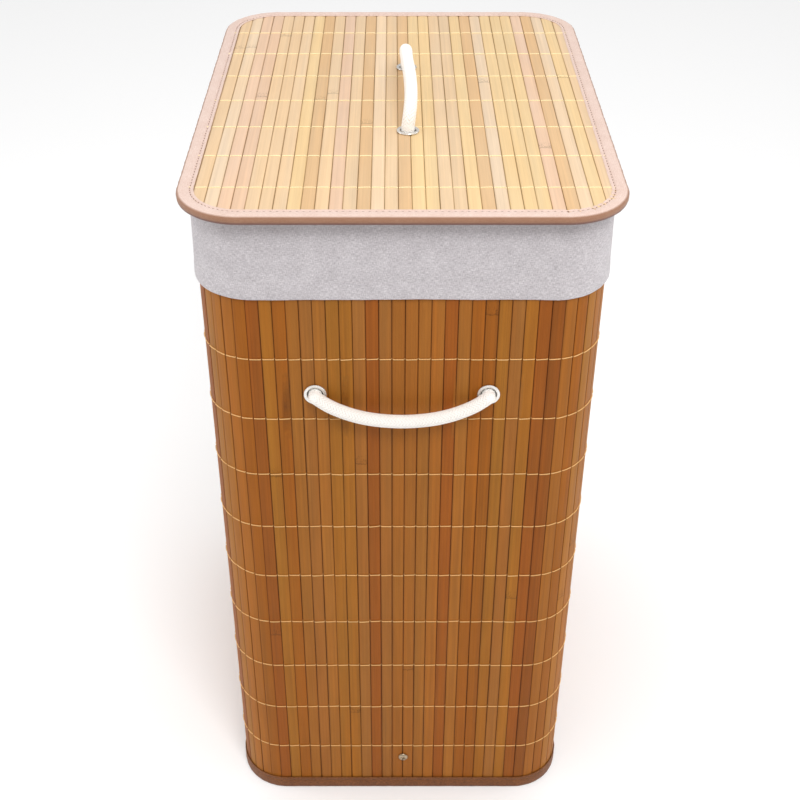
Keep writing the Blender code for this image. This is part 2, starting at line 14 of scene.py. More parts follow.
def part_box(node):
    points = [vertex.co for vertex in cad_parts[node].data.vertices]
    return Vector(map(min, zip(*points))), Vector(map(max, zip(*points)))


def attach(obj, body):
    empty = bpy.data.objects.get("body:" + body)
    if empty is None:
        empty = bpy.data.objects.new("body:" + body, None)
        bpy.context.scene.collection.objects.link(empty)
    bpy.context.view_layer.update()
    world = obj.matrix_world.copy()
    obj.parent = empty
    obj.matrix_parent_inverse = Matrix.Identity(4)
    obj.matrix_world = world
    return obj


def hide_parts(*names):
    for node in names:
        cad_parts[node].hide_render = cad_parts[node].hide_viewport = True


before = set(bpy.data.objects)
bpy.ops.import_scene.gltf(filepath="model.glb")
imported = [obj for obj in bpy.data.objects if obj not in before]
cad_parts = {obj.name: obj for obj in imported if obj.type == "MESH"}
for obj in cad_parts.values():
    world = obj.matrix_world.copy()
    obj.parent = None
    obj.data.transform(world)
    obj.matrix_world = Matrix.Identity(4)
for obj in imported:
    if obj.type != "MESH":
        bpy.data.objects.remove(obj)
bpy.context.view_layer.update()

# ---------------------------------------------------------------------------------------------
# The view: a camera a metre in front of the narrow end and a little above it, tipped down.
# The shift centres the hamper, which stands slightly to the right of the line of sight.
# ---------------------------------------------------------------------------------------------
camera = bpy.data.objects.new("camera", bpy.data.cameras.new("camera"))
bpy.context.scene.collection.objects.link(camera)
camera.location = (-0.007, -1.023, 1.060)
camera.rotation_euler = (math.radians(54.6), 0, 0)
camera.data.sensor_width = 36
camera.data.lens = 57.0
camera.data.shift_x = 0.0087
camera.data.clip_start = 0.01
bpy.context.scene.camera = camera
bpy.context.scene.view_settings.view_transform = "Standard"

# ---------------------------------------------------------------------------------------------
# Rope handles: soft braided cotton, nearly 11 mm thick. Each passes in through two eyelets and is held
# behind them by knots. The end handles hang in a shallow curve, and the lid's stands as an arch.
# ---------------------------------------------------------------------------------------------
ROPE_DIAMETER = 0.0107
PIVOT_HEIGHT = 0.0046           # from the mat's face to the axis a handle swings on
SIDE_HANDLE_ANGLE = 30.0        # degrees that a hanging handle stands out from upright
LID_HANDLE_LEAN = 8.0           # degrees towards +X
SIDE_ROPE_ROUTE = ((0.0685, 0.0), (0.0640, 0.0030), (0.058, 0.0066), (0.048, 0.0110),
                   (0.033, 0.0156), (0.016, 0.0183), (0.0, 0.0191))
LID_ROPE_ROUTE = ((0.0695, 0.0, 0.0), (0.0680, -0.0006, 0.0058), (0.0632, -0.0016, 0.0115),
                  (0.0540, -0.0031, 0.0168), (0.0400, -0.0041, 0.0213), (0.0210, -0.0043, 0.0246),
                  (0.0, -0.0035, 0.0256), (-0.0210, -0.0019, 0.0246), (-0.0400, -0.0006, 0.0213),
                  (-0.0540, 0.0001, 0.0168), (-0.0632, 0.0001, 0.0115), (-0.0680, 0.0, 0.0058),
                  (-0.0695, 0.0, 0.0))
STRANDS = 12                    # in each of the braid's two directions
BRAID_LAY = 0.030               # length of one turn of a strand
BRAID_RELIEF = 0.00060
ROPE_STEP = 0.00028             # spacing of the rings along a rope
ROPE_SIDES = 96
MERGE_DISTANCE = 0.000001       # points of a mesh nearer than this become one


def paint(code):
    """The linear colour of a #rrggbb code."""
    shares = [int(code[i:i + 2], 16) / 255 for i in (1, 3, 5)]
    return (*[s / 12.92 if s <= 0.04045 else ((s + 0.055) / 1.055) ** 2.4 for s in shares], 1.0)


def node(tree, kind, inputs=None, **settings):
    """Add a node, set its options, then set or link its inputs by name or number."""
    made = tree.nodes.new(kind)
    for key, value in settings.items():
        setattr(made, key, value)
    for key, value in (inputs or {}).items():
        if isinstance(value, bpy.types.NodeSocket):
            tree.links.new(value, made.inputs[key])
        else:
            made.inputs[key].default_value = value
    return made


def material(name, roughness=0.5, metallic=0.0, **shader_values):
    """A material with its Principled shader. Returns the material, its nodes and the shader."""
    made = bpy.data.materials.new(name)
    made.use_nodes = True
    tree = made.node_tree
    shader = tree.nodes["Principled BSDF"]
    shader.inputs["Roughness"].default_value = roughness
    shader.inputs["Metallic"].default_value = metallic
    for key, value in shader_values.items():
        shader.inputs[key.replace("_", " ")].default_value = value
    return made, tree, shader


def relief(tree, shader, height, depth):
    """Drive the shader's normal from a height that varies between 0 and 1, depth metres deep."""
    bump = node(tree, "ShaderNodeBump", {"Height": height, "Distance": depth, "Strength": 1.0})
    tree.links.new(bump.outputs["Normal"], shader.inputs["Normal"])


def mesh_piece(name, points, faces, uv=None, values=None, sharp=40, finish=None, slot=None):
    """Put arrays into a mesh.

    points is (n, 3), faces (m, 4), uv one pair for each corner of each face, and values maps the
    name of an attribute to one number or colour for each point.
    """
    mesh = bpy.data.meshes.new(name)
    points = np.ascontiguousarray(points, dtype=np.float32).reshape(-1, 3)
    corners = np.ascontiguousarray(faces, dtype=np.int32).ravel()
    mesh.vertices.add(len(points))
    mesh.vertices.foreach_set("co", points.ravel())
    mesh.loops.add(len(corners))
    mesh.loops.foreach_set("vertex_index", corners)
    mesh.polygons.add(len(corners) // 4)
    mesh.polygons.foreach_set("loop_start", np.arange(0, len(corners), 4, dtype=np.int32))
    mesh.update(calc_edges=True)
    if uv is not None:
        layer = mesh.uv_layers.new(name="cloth")
        layer.uv.foreach_set("vector", np.ascontiguousarray(uv, dtype=np.float32).ravel())
    for key, array in (values or {}).items():
        array = np.ascontiguousarray(array, dtype=np.float32)
        if array.ndim == 1:
            mesh.attributes.new(key, "FLOAT", "POINT").data.foreach_set("value", array)
        else:
            mesh.attributes.new(key, "FLOAT_COLOR", "POINT").data.foreach_set("color", array.ravel())
    return finish_piece(name, mesh, sharp, finish)


def finish_piece(name, mesh, sharp, finish):
    """Close poles and seams, point faces outwards, shade smooth and link the object.

    sharp is the angle in degrees past which an edge stays sharp.
    """
    shape = bmesh.new()
    shape.from_mesh(mesh)
    bmesh.ops.remove_doubles(shape, verts=shape.verts, dist=MERGE_DISTANCE)
    bmesh.ops.recalc_face_normals(shape, faces=shape.faces)
    shape.to_mesh(mesh)
    shape.free()
    mesh.shade_smooth()
    mesh.set_sharp_from_angle(angle=math.radians(sharp))
    piece = bpy.data.objects.new(name, mesh)
    bpy.context.scene.collection.objects.link(piece)
    if finish:
        mesh.materials.append(finish)
    return piece


def grid_faces(rows, columns, wrap_rows, wrap_columns):
    """Quads through a grid numbered row by row, and each corner's row and column before wrapping."""
    row, column = np.meshgrid(np.arange(rows if wrap_rows else rows - 1),
                              np.arange(columns if wrap_columns else columns - 1), indexing="ij")
    corner_rows = np.stack((row, row, row + 1, row + 1), -1).reshape(-1, 4)
    corner_columns = np.stack((column, column + 1, column + 1, column), -1).reshape(-1, 4)
    faces = (corner_rows % rows) * columns + corner_columns % columns
    return faces, corner_rows, corner_columns


def grid_piece(name, points, down, across, wrap_rows=False, wrap_columns=False, **more):
    """A surface through points[row, column].

    down and across give the distance in metres at each row and column, for the UV map, with one
    more value where that direction wraps round.
    """
    rows, columns = points.shape[:2]
    faces, corner_rows, corner_columns = grid_faces(rows, columns, wrap_rows, wrap_columns)
    uv = np.stack((np.asarray(across)[corner_columns], np.asarray(down)[corner_rows]), -1)
    return mesh_piece(name, points, faces, uv, **more)


def smooth_route(points, step):
    """Evenly spaced points on the natural cubic curve through given ones.

    The curve's second derivative is found at each point, so that it and the slope are continuous.
    """
    knots = np.array(points, float)
    steps = np.linalg.norm(np.diff(knots, axis=0), axis=1)
    along = np.concatenate(([0.0], np.cumsum(steps)))
    inner = np.arange(1, len(knots) - 1)
    system = np.eye(len(knots))
    system[inner, inner - 1] = steps[:-1]
    system[inner, inner] = 2 * (steps[:-1] + steps[1:])
    system[inner, inner + 1] = steps[1:]
    slopes = np.diff(knots, axis=0) / steps[:, None]
    target = np.zeros_like(knots)
    target[1:-1] = 6 * np.diff(slopes, axis=0)
    bend = np.linalg.solve(system, target)

    def curve_at(distance):
        i = np.clip(np.searchsorted(along, distance) - 1, 0, len(steps) - 1)
        left = (distance - along[i])[:, None]
        right = (along[i + 1] - distance)[:, None]
        span = steps[i][:, None]
        return (bend[i] * right ** 3 / (6 * span) + bend[i + 1] * left ** 3 / (6 * span)
                + (knots[i] / span - bend[i] * span / 6) * right
                + (knots[i + 1] / span - bend[i + 1] * span / 6) * left)

    fine = np.linspace(0, along[-1], 4000)
    dense = curve_at(fine)
    length = np.concatenate(([0.0], np.cumsum(np.linalg.norm(np.diff(dense, axis=0), axis=1))))
    count = int(length[-1] / step)
    return curve_at(np.interp(np.linspace(0, length[-1], count), length, fine))


def braid(turn, distance):
    """Height of a two-over, two-under braid, from 0 in its grooves to 1 on its strands.

    turn is the share of a turn round the rope. One family of strands runs clockwise and the other
    anticlockwise; each shows where the sum of their numbers says that it is on top, and is
    rounded across its own width.
    """
    clockwise = STRANDS * (turn + distance / BRAID_LAY)
    other = STRANDS * (turn - distance / BRAID_LAY)
    on_top = (np.floor(clockwise) + np.floor(other)) % 4 < 2
    across = np.where(on_top, clockwise, other)
    return np.abs(np.sin(math.pi * across)) ** 0.6


def along_path(path):
    """Distance from a path's first point to each of its points."""
    return np.concatenate(([0.0], np.cumsum(np.linalg.norm(np.diff(path, axis=0), axis=1))))


def round_ended(path, radius):
    """A path carried on straight past both ends by the rope's radius, and its radius at each point.

    Over that last stretch the radius follows a quarter circle, so each end is half a ball.
    """
    count = int(radius / ROPE_STEP)
    reach = np.linspace(radius, radius / count, count)[:, None]
    first = path[0] - path[1]
    last = path[-1] - path[-2]
    whole = np.concatenate((path[0] + reach * first / np.linalg.norm(first), path,
                            path[-1] + reach[::-1] * last / np.linalg.norm(last)))
    distance = along_path(whole)
    from_end = np.minimum(np.minimum(distance, distance[-1] - distance), radius)
    return whole, np.sqrt(radius ** 2 - (radius - from_end) ** 2)


def braided_rope(name, path, reference, radius, finish, slot):
    """A braided tube along a path, with ends like half balls.

    Each ring is turned from the path's tangent and a reference direction that the tangent never
    meets: side = tangent x reference, up = side x tangent. A point is the path plus
    radius x (cos side + sin up), lowered in the grooves of the braid.
    """
    path, radii = round_ended(path, radius)
    tangent = np.gradient(path, axis=0)
    tangent /= np.linalg.norm(tangent, axis=1)[:, None]
    side = np.cross(tangent, reference)
    side /= np.linalg.norm(side, axis=1)[:, None]
    up = np.cross(side, tangent)
    distance = along_path(path)
    turn = np.arange(ROPE_SIDES) / ROPE_SIDES
    height = braid(turn[None, :], distance[:, None])
    reach = radii[:, None] * (1 - BRAID_RELIEF / radius * (1 - height))
    angle = 2 * math.pi * turn
    ring = np.cos(angle)[:, None] * side[:, None] + np.sin(angle)[:, None] * up[:, None]
    points = path[:, None] + reach[..., None] * ring
    across = np.arange(ROPE_SIDES + 1) / ROPE_SIDES * 2 * math.pi * radius
    return grid_piece(name, points, distance, across, wrap_columns=True, sharp=180,
                      values={"strand": height.ravel()}, finish=finish, slot=slot)


cotton, cotton_nodes, cotton_shader = material("braided_cotton", 0.88, Sheen_Weight=0.3,
                                               Sheen_Roughness=0.5, Specular_IOR_Level=0.25)
strand = node(cotton_nodes, "ShaderNodeAttribute", attribute_name="strand")
rope_place = node(cotton_nodes, "ShaderNodeTexCoord")
fuzz = node(cotton_nodes, "ShaderNodeTexNoise", {"Vector": rope_place.outputs["Object"],
                                                 "Scale": 1800.0, "Detail": 3.0})
soil = node(cotton_nodes, "ShaderNodeTexNoise", {"Vector": rope_place.outputs["Object"],
                                                 "Scale": 45.0, "Detail": 2.0})
# Painted shade: the braid's grooves are coloured darker (#C0B2A3) than its strands, for the shade in the
# hollows between them.
groove = node(cotton_nodes, "ShaderNodeMapRange", {"Value": strand.outputs["Fac"],
                                                   "From Min": 0.0, "From Max": 0.70})
cotton_tone = node(cotton_nodes, "ShaderNodeMix", {
    "Factor": soil.outputs["Fac"], 6: paint("#FBF8F3"), 7: paint("#F5F0E9")}, data_type="RGBA")
cotton_colour_with_groove_shade = node(cotton_nodes, "ShaderNodeMix", {
    "Factor": groove.outputs["Result"], 6: paint("#C0B2A3"), 7: cotton_tone.outputs[2]},
    data_type="RGBA")
cotton_nodes.links.new(cotton_colour_with_groove_shade.outputs[2], cotton_shader.inputs["Base Color"])
relief(cotton_nodes, cotton_shader, fuzz.outputs["Fac"], 0.00012)


def mirrored(half_route):
    """The whole route of a handle: the half that is given, then the same one the other way round."""
    return [*half_route, *[(-lateral, away) for lateral, away in reversed(half_route[:-1])]]


mat_low, mat_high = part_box("wall_mat")
holes = {}                      # each eyelet's name, and the middle of its hole on the mat's face
for wall, face_y in (("front", mat_low[1]), ("back", mat_high[1])):
    for hand in ("left", "right"):
        low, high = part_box(f"side_eyelet_{wall}_{hand}")
        holes[f"side_eyelet_{wall}_{hand}"] = ((low[0] + high[0]) / 2, face_y, (low[2] + high[2]) / 2)
for end in ("front", "back"):
    low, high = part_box(f"lid_eyelet_{end}")
    holes[f"lid_eyelet_{end}"] = ((low[0] + high[0]) / 2, (low[1] + high[1]) / 2,
                                  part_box("lid_mat")[1][2])

for wall, sign in (("front", -1), ("back", 1)):
    centre = holes[f"side_eyelet_{wall}_left"]
    tilt = math.radians(SIDE_HANDLE_ANGLE)
    pivot_y = centre[1] + sign * PIVOT_HEIGHT
    path = smooth_route([(lateral, pivot_y + sign * away * math.sin(tilt),
                          centre[2] - away * math.cos(tilt))
                         for lateral, away in mirrored(SIDE_ROPE_ROUTE)], ROPE_STEP)
    rope = braided_rope(f"handle_rope_{wall}", path, (0, math.cos(tilt), sign * math.sin(tilt)),
                        ROPE_DIAMETER / 2, cotton, "cotton_rope")
    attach(rope, f"handle_{wall}")
    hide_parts(f"handle_{wall}_rope")

centre = holes["lid_eyelet_front"]
lean = math.radians(LID_HANDLE_LEAN)
path = smooth_route([(centre[0] + sway * math.cos(lean) + away * math.sin(lean), lateral,
                      centre[2] + PIVOT_HEIGHT + away * math.cos(lean) - sway * math.sin(lean))
                     for lateral, sway, away in LID_ROPE_ROUTE], ROPE_STEP)
rope = braided_rope("handle_rope_lid", path, (math.cos(lean), 0, -math.sin(lean)),
                    ROPE_DIAMETER / 2, cotton, "cotton_rope")
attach(rope, "lid_handle")
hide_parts("lid_handle_rope")

# ---------------------------------------------------------------------------------------------
# Rope ends: behind its washer each end is tied in a simple knot, drawn up tight. The short neck
# of rope that comes out through the eyelet belongs to the knot, and the handle swings at its tip.
# ---------------------------------------------------------------------------------------------
KNOT_ROPE_RADIUS = 0.0040       # squeezed thinner in the knot
KNOT_SPREAD = 0.0024
KNOT_HALF_DEPTH = 0.0048
KNOT_SIDES = 20
KNOT_GIRTH = 0.025              # round the rope in the knot
LID_KNOT_DEPTH = 0.0146         # from the mat's face to the knot's middle
WALL_KNOT_DEPTH = 0.0132
NECK_POINTS = 50


def knot_points(middle, outward):
    """A closed overhand knot round an axis: out = spread x (sin t + 2 sin 2t, cos t - 2 cos 2t)
    across the axis and -half depth x sin 3t along it."""
    axis = np.array(outward, float)
    first = np.cross(axis, (0, 0, 1.0) if abs(axis[2]) < 0.5 else (1.0, 0, 0))
    second = np.cross(axis, first)
    t = np.linspace(0, 2 * math.pi, 181)[:, None]
    return (np.array(middle) + KNOT_SPREAD * ((np.sin(t) + 2 * np.sin(2 * t)) * first
                                              + (np.cos(t) - 2 * np.cos(2 * t)) * second)
            - KNOT_HALF_DEPTH * np.sin(3 * t) * axis)


def ring_tube(path, radius, sides):
    """Rings round a path that ends where it starts.

    bearing = tangent x a fixed direction that the tangent never meets, other = tangent x bearing,
    and a point is the path plus radius x (cos bearing + sin other).
    """
    tangent = np.gradient(path, axis=0)
    tangent[0] = tangent[-1] = path[1] - path[-2]
    tangent /= np.linalg.norm(tangent, axis=1)[:, None]
    bearing = np.cross(tangent, (0.31, 0.42, 0.85))
    bearing /= np.linalg.norm(bearing, axis=1)[:, None]
    other = np.cross(tangent, bearing)
    angle = np.arange(sides) / sides * 2 * math.pi
    ring = np.cos(angle)[:, None] * bearing[:, None] + np.sin(angle)[:, None] * other[:, None]
    return path[:, None] + radius * ring


def join_pieces(name, parts):
    """One piece of several that share a finish."""
    with bpy.context.temp_override(active_object=parts[0], selected_editable_objects=parts):
        bpy.ops.object.join()
    parts[0].name = name
    return parts[0]


for key, (x, y, z) in holes.items():
    on_lid = key.startswith("lid")
    outward = (0, 0, 1) if on_lid else (0, math.copysign(1, y), 0)
    cad_knot = key.replace("side_eyelet", "side_rope_knot").replace("lid_eyelet", "lid_rope_knot")
    low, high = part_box(cad_knot)
    middle = [(low[0] + high[0]) / 2, (low[1] + high[1]) / 2, (low[2] + high[2]) / 2]
    if on_lid:
        middle[2] = z - LID_KNOT_DEPTH
    else:
        middle[1] = y - outward[1] * WALL_KNOT_DEPTH
    loop = knot_points(middle, outward)
    distance = along_path(loop)
    turn = np.arange(KNOT_SIDES) / KNOT_SIDES
    height = braid(turn[None, :], distance[:, None])
    rings = ring_tube(loop, KNOT_ROPE_RADIUS, KNOT_SIDES)[:-1]
    knot = grid_piece("knot_loop", rings, distance,
                      np.arange(KNOT_SIDES + 1) / KNOT_SIDES * KNOT_GIRTH, True, True, sharp=180,
                      values={"strand": height[:-1].ravel()}, finish=cotton)
    tip = np.array((x, y, z)) + PIVOT_HEIGHT * np.array(outward)
    neck_path = np.linspace(np.array(middle), tip, NECK_POINTS)
    neck = braided_rope("knot_neck", neck_path, (0, 1, 0) if on_lid else (0, 0, 1),
                        ROPE_DIAMETER / 2, cotton, None)
    whole = join_pieces(key.replace("eyelet", "knot"), [knot, neck])
    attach(whole, "lid" if on_lid else "basket")
    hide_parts(cad_knot)

# ---------------------------------------------------------------------------------------------
# Basket wall: a mat of split bamboo slats bent round the frame, each about 10 mm wide, slightly
# crowned and planed. A joint is a groove between neighbours, whose narrow tongues all but
# touch at its floor; painted shade darkens its floor and the slats' edges. No two slats are the same
# colour.
# ---------------------------------------------------------------------------------------------
BODY_HALF_X = (mat_high[0] - mat_low[0]) / 2
BODY_HALF_Y = (mat_high[1] - mat_low[1]) / 2
BODY_CORNER = 0.044
BODY_SLATS = 136
FIRST_JOINT = 0.0023            # from the middle of the front wall
JOINT_GAP = 0.0007
SLAT_THICKNESS = 0.0018
SLAT_CROWN = 0.00016
SLAT_EDGE_ROUND = 0.00030
# Round a slat's section, from the left edge of its face: the place across it, in half widths; where
# it reaches out as a tongue; which points are on the groove's floor and on the back; the painted shade.
SLAT_ACROSS = np.array([-1, -0.94, -0.8, -0.45, 0, 0.45, 0.8, 0.94, 1, 1, 1, 1, 0, -1, -1, -1])
SLAT_TONGUE = np.array([0] * 10 + [1, 1, 0, -1, -1, 0])
SLAT_GROOVE = np.array([0] * 9 + [1, 1, 0, 0, 0, 1, 1])
SLAT_BACK = np.array([0] * 11 + [1] * 3 + [0] * 2)
SLAT_PAINTED_SHADE = np.array([0.62, 0.93, 1, 1, 1, 1, 1, 0.93, 0.62, 0.5, 0.5, 0.4, 0.4, 0.4, 0.5, 0.5])
PAINTED_SHADE_TINT = (0.85, 1.1, 1.6)   # how the painted shade at a slat's edges and joints darkens red, green and blue
BODY_GROOVE = 0.0008            # depth of the joints' floor
SLAT_CLEARANCE = 0.00011        # from a tongue's end to the middle of the joint
GRAIN_HALF_WIDTH = 0.0048       # of each slat on its grain map
GRAIN_STEP = 0.0131             # from one slat's place on that map to the next
SLAT_NUMBER_STEP = 0.37
NO_RING = 9.0                   # a height no slat reaches, for slats without a growth ring
SLAT_SHARP = 35
EYELET_HOLE_RADIUS = 0.0072
BODY_TONES = {"c": "#995D20", "o": "#945616", "g": "#9A611E", "r": "#905017", "k": "#975F27",
              "d": "#8A4D16", "p": "#9D6526", "l": "#9C6123"}


def outline(distance, half_x, half_y, corner):
    """The point and the outward direction at a distance round a rounded rectangle.

    A point is the nearest corner's centre + corner x normal + the way gone along the straight.

    Distances start at the middle of the front edge and go towards +X. On a straight, the point
    moves on from the end of the last corner; on a corner, it turns round that corner's centre.
    """
    flat_x, flat_y, arc = half_x - corner, half_y - corner, math.pi / 2 * corner
    starts = np.cumsum([0, 2 * flat_x, arc, 2 * flat_y, arc, 2 * flat_x, arc, 2 * flat_y, arc])
    place = np.mod(np.asarray(distance) + flat_x, starts[-1])
    part = np.clip(np.searchsorted(starts, place, side="right") - 1, 0, 7)
    along = place - starts[part]
    bending = part % 2
    angle = -math.pi / 2 + math.pi / 2 * (part // 2) + bending * along / corner
    normal = np.stack((np.cos(angle), np.sin(angle)), -1)
    tangent = np.stack((-normal[..., 1], normal[..., 0]), -1)
    centres = np.array([(-flat_x, -flat_y), (flat_x, -flat_y), (flat_x, flat_y), (-flat_x, flat_y)])
    centre = centres[((part + 1) // 2) % 4]
    point = centre + corner * normal + ((1 - bending) * along)[..., None] * tangent
    return point, normal


def perimeter(half_x, half_y, corner):
    """Distance round a rounded rectangle: its four straights and one whole circle."""
    return 4 * (half_x + half_y - 2 * corner) + 2 * math.pi * corner


def slat_group():
    """The look of planed bamboo: long fibres, broad streaks and mottling on a slat's own colour,
    and on some slats a growth ring, which is a dark line with specks above it."""
    group = bpy.data.node_groups.new("slat_grain", "ShaderNodeTree")
    for name, kind in (("Colour", "NodeSocketColor"), ("Place", "NodeSocketVector"),
                       ("Slat", "NodeSocketFloat"), ("Ring", "NodeSocketFloat"),
                       ("Contrast", "NodeSocketFloat")):
        group.interface.new_socket(name, in_out="INPUT", socket_type=kind)
    for name, kind in (("Colour", "NodeSocketColor"), ("Height", "NodeSocketFloat"),
                       ("Roughness", "NodeSocketFloat")):
        group.interface.new_socket(name, in_out="OUTPUT", socket_type=kind)
    given = node(group, "NodeGroupInput").outputs
    axes = node(group, "ShaderNodeSeparateXYZ", {0: given["Place"]}).outputs

    def scaled(value, factor):
        return node(group, "ShaderNodeMath", {0: value, 1: factor}, operation="MULTIPLY").outputs[0]

    def fibres(across, along, detail, seed=7.0):
        place = node(group, "ShaderNodeCombineXYZ", {
            0: scaled(axes[0], across), 1: scaled(axes[1], along), 2: scaled(given["Slat"], seed)})
        return node(group, "ShaderNodeTexNoise", {"Vector": place.outputs[0], "Scale": 1.0,
                                                  "Detail": detail, "Roughness": 0.6}).outputs["Fac"]

    def span(value, low, high, to_low, to_high):
        return node(group, "ShaderNodeMapRange", {
            "Value": value, "From Min": low, "From Max": high, "To Min": to_low,
            "To Max": to_high}).outputs["Result"]

    def combine(first, second, operation):
        return node(group, "ShaderNodeMath", {0: first, 1: second}, operation=operation).outputs[0]

    fine, streaks, mottling = fibres(1500, 9, 3), fibres(420, 3.2, 3, 11), fibres(90, 14, 3, 17)
    total = combine(combine(span(fine, 0.3, 0.7, -0.10, 0.10), span(streaks, 0.3, 0.7, -0.13, 0.13),
                            "ADD"), span(mottling, 0.3, 0.7, -0.08, 0.08), "ADD")
    wander = span(fibres(500, 40, 2, 23), 0.2, 0.8, -0.0012, 0.0012)
    above = combine(combine(axes[1], given["Ring"], "SUBTRACT"), wander, "ADD")
    line = span(combine(above, 0.0, "ABSOLUTE"), 0.0002, 0.0009, 1, 0)
    patch = combine(span(above, -0.0005, 0.0005, 0, 1), span(above, 0.003, 0.011, 1, 0), "MULTIPLY")
    specks = span(fibres(1300, 520, 2, 29), 0.54, 0.60, 0, 1)
    marks = combine(scaled(line, 0.35), combine(scaled(patch, 0.45), specks, "MULTIPLY"), "MAXIMUM")
    shade = combine(combine(total, given["Contrast"], "MULTIPLY"), marks, "SUBTRACT")
    factor = combine(shade, 1.0, "ADD")
    grey = node(group, "ShaderNodeCombineXYZ", {0: factor, 1: factor, 2: factor})
    tint = node(group, "ShaderNodeMix", {
        "Factor": span(fibres(60, 4.5, 2, 31), 0.35, 0.65, 0, 1), 6: (1.05, 0.98, 0.86, 1),
        7: (0.96, 1.00, 1.06, 1)}, data_type="RGBA")
    own = node(group, "ShaderNodeMix", {"Factor": given["Contrast"], 6: given["Colour"],
                                        7: tint.outputs[2]}, data_type="RGBA", blend_type="MULTIPLY")
    colour = node(group, "ShaderNodeMix", {"Factor": 1.0, 6: own.outputs[2], 7: grey.outputs[0]},
                  data_type="RGBA", blend_type="MULTIPLY")
    out = node(group, "NodeGroupOutput")
    group.links.new(colour.outputs[2], out.inputs["Colour"])
    group.links.new(combine(fine, scaled(line, 0.8), "SUBTRACT"), out.inputs["Height"])
    group.links.new(span(streaks, 0.3, 0.7, 0.0, 0.12), out.inputs["Roughness"])
    return group


slat_grain = slat_group()


def bamboo_finish(name, contrast, roughness, depth, **shader_values):
    """Bamboo on slats that carry their own colour, number and ring height as attributes."""
    finish, tree, shader = material(name, roughness, **shader_values)
    own = node(tree, "ShaderNodeAttribute", attribute_name="slat_colour")
    number = node(tree, "ShaderNodeAttribute", attribute_name="slat_number")
    ring = node(tree, "ShaderNodeAttribute", attribute_name="slat_ring")
    place = node(tree, "ShaderNodeUVMap", uv_map="cloth")
    grain = node(tree, "ShaderNodeGroup", node_tree=slat_grain)
    for socket, source in (("Colour", own.outputs["Color"]), ("Place", place.outputs["UV"]),
                           ("Slat", number.outputs["Fac"]), ("Ring", ring.outputs["Fac"])):
        tree.links.new(source, grain.inputs[socket])
    grain.inputs["Contrast"].default_value = contrast
    tree.links.new(grain.outputs["Colour"], shader.inputs["Base Color"])
    rough = node(tree, "ShaderNodeMath", {0: grain.outputs["Roughness"], 1: roughness}, operation="ADD")
    tree.links.new(rough.outputs[0], shader.inputs["Roughness"])
    relief(tree, shader, grain.outputs["Height"], depth)
    return finish


def slats(name, middles, rights, outwards, halves, reaches, groove, lengths, tones, rings, shade,
          finish, slot):
    """Closed slats in one piece, all as arrays of slat x row x point round the section.

    middles[slat, row] is the slat's middle line, rights and outwards its directions, halves its
    half widths, and a point is the middle + across x right - depth x outward. The face falls away
    as crown x across^2 plus an edge rounding x across^8, and the back is flat. Below the groove's
    depth a slat is as wide as reaches says, to each side. The first and last rows are drawn in to
    the middle, which closes the ends.
    """
    count, rows = middles.shape[:2]
    face = 1 - SLAT_BACK - SLAT_GROOVE
    depth = (face * (SLAT_CROWN * SLAT_ACROSS ** 2 + SLAT_EDGE_ROUND * SLAT_ACROSS ** 8)
             + SLAT_GROOVE * groove + SLAT_BACK * SLAT_THICKNESS)
    across = SLAT_ACROSS * halves[..., None] + SLAT_TONGUE * (reaches - halves)[..., None]
    points = (middles[:, :, None] + across[..., None] * rights[:, None, None]
              - depth[:, None] * outwards[:, None, None])
    heart = points.mean(axis=2, keepdims=True)
    points[:, 0] = heart[:, 0]
    points[:, -1] = heart[:, -1]
    faces, corner_rows, corner_columns = grid_faces(rows, len(SLAT_ACROSS), False, True)
    each = rows * len(SLAT_ACROSS)
    shift = (np.arange(count) * each)[:, None, None]
    face_across = np.append(SLAT_ACROSS, SLAT_ACROSS[0])[corner_columns] * GRAIN_HALF_WIDTH
    uv = np.empty((count, *faces.shape, 2))
    uv[..., 0] = np.arange(count)[:, None, None] * GRAIN_STEP + face_across
    uv[..., 1] = lengths[:, corner_rows]
    colours = np.repeat(tones[:, None], each, axis=1).reshape(count, rows, len(SLAT_ACROSS), 4)
    # Painted shade: each slat's colour is darkened towards its edges, on the groove's floor and on its
    # back, by the share shade (1 for the basket, 0.8 for the lid), and tinted warmer, as light bounced
    # in a joint would be.
    colours[..., :3] *= (1 - shade * (1 - SLAT_PAINTED_SHADE[:, None])) ** PAINTED_SHADE_TINT
    return mesh_piece(name, points, faces[None] + shift, uv, values={
        "slat_colour": colours.reshape(-1, 4),
        "slat_number": np.repeat(np.arange(count) * SLAT_NUMBER_STEP, each),
        "slat_ring": np.repeat(rings, each)}, sharp=SLAT_SHARP, finish=finish, slot=slot)


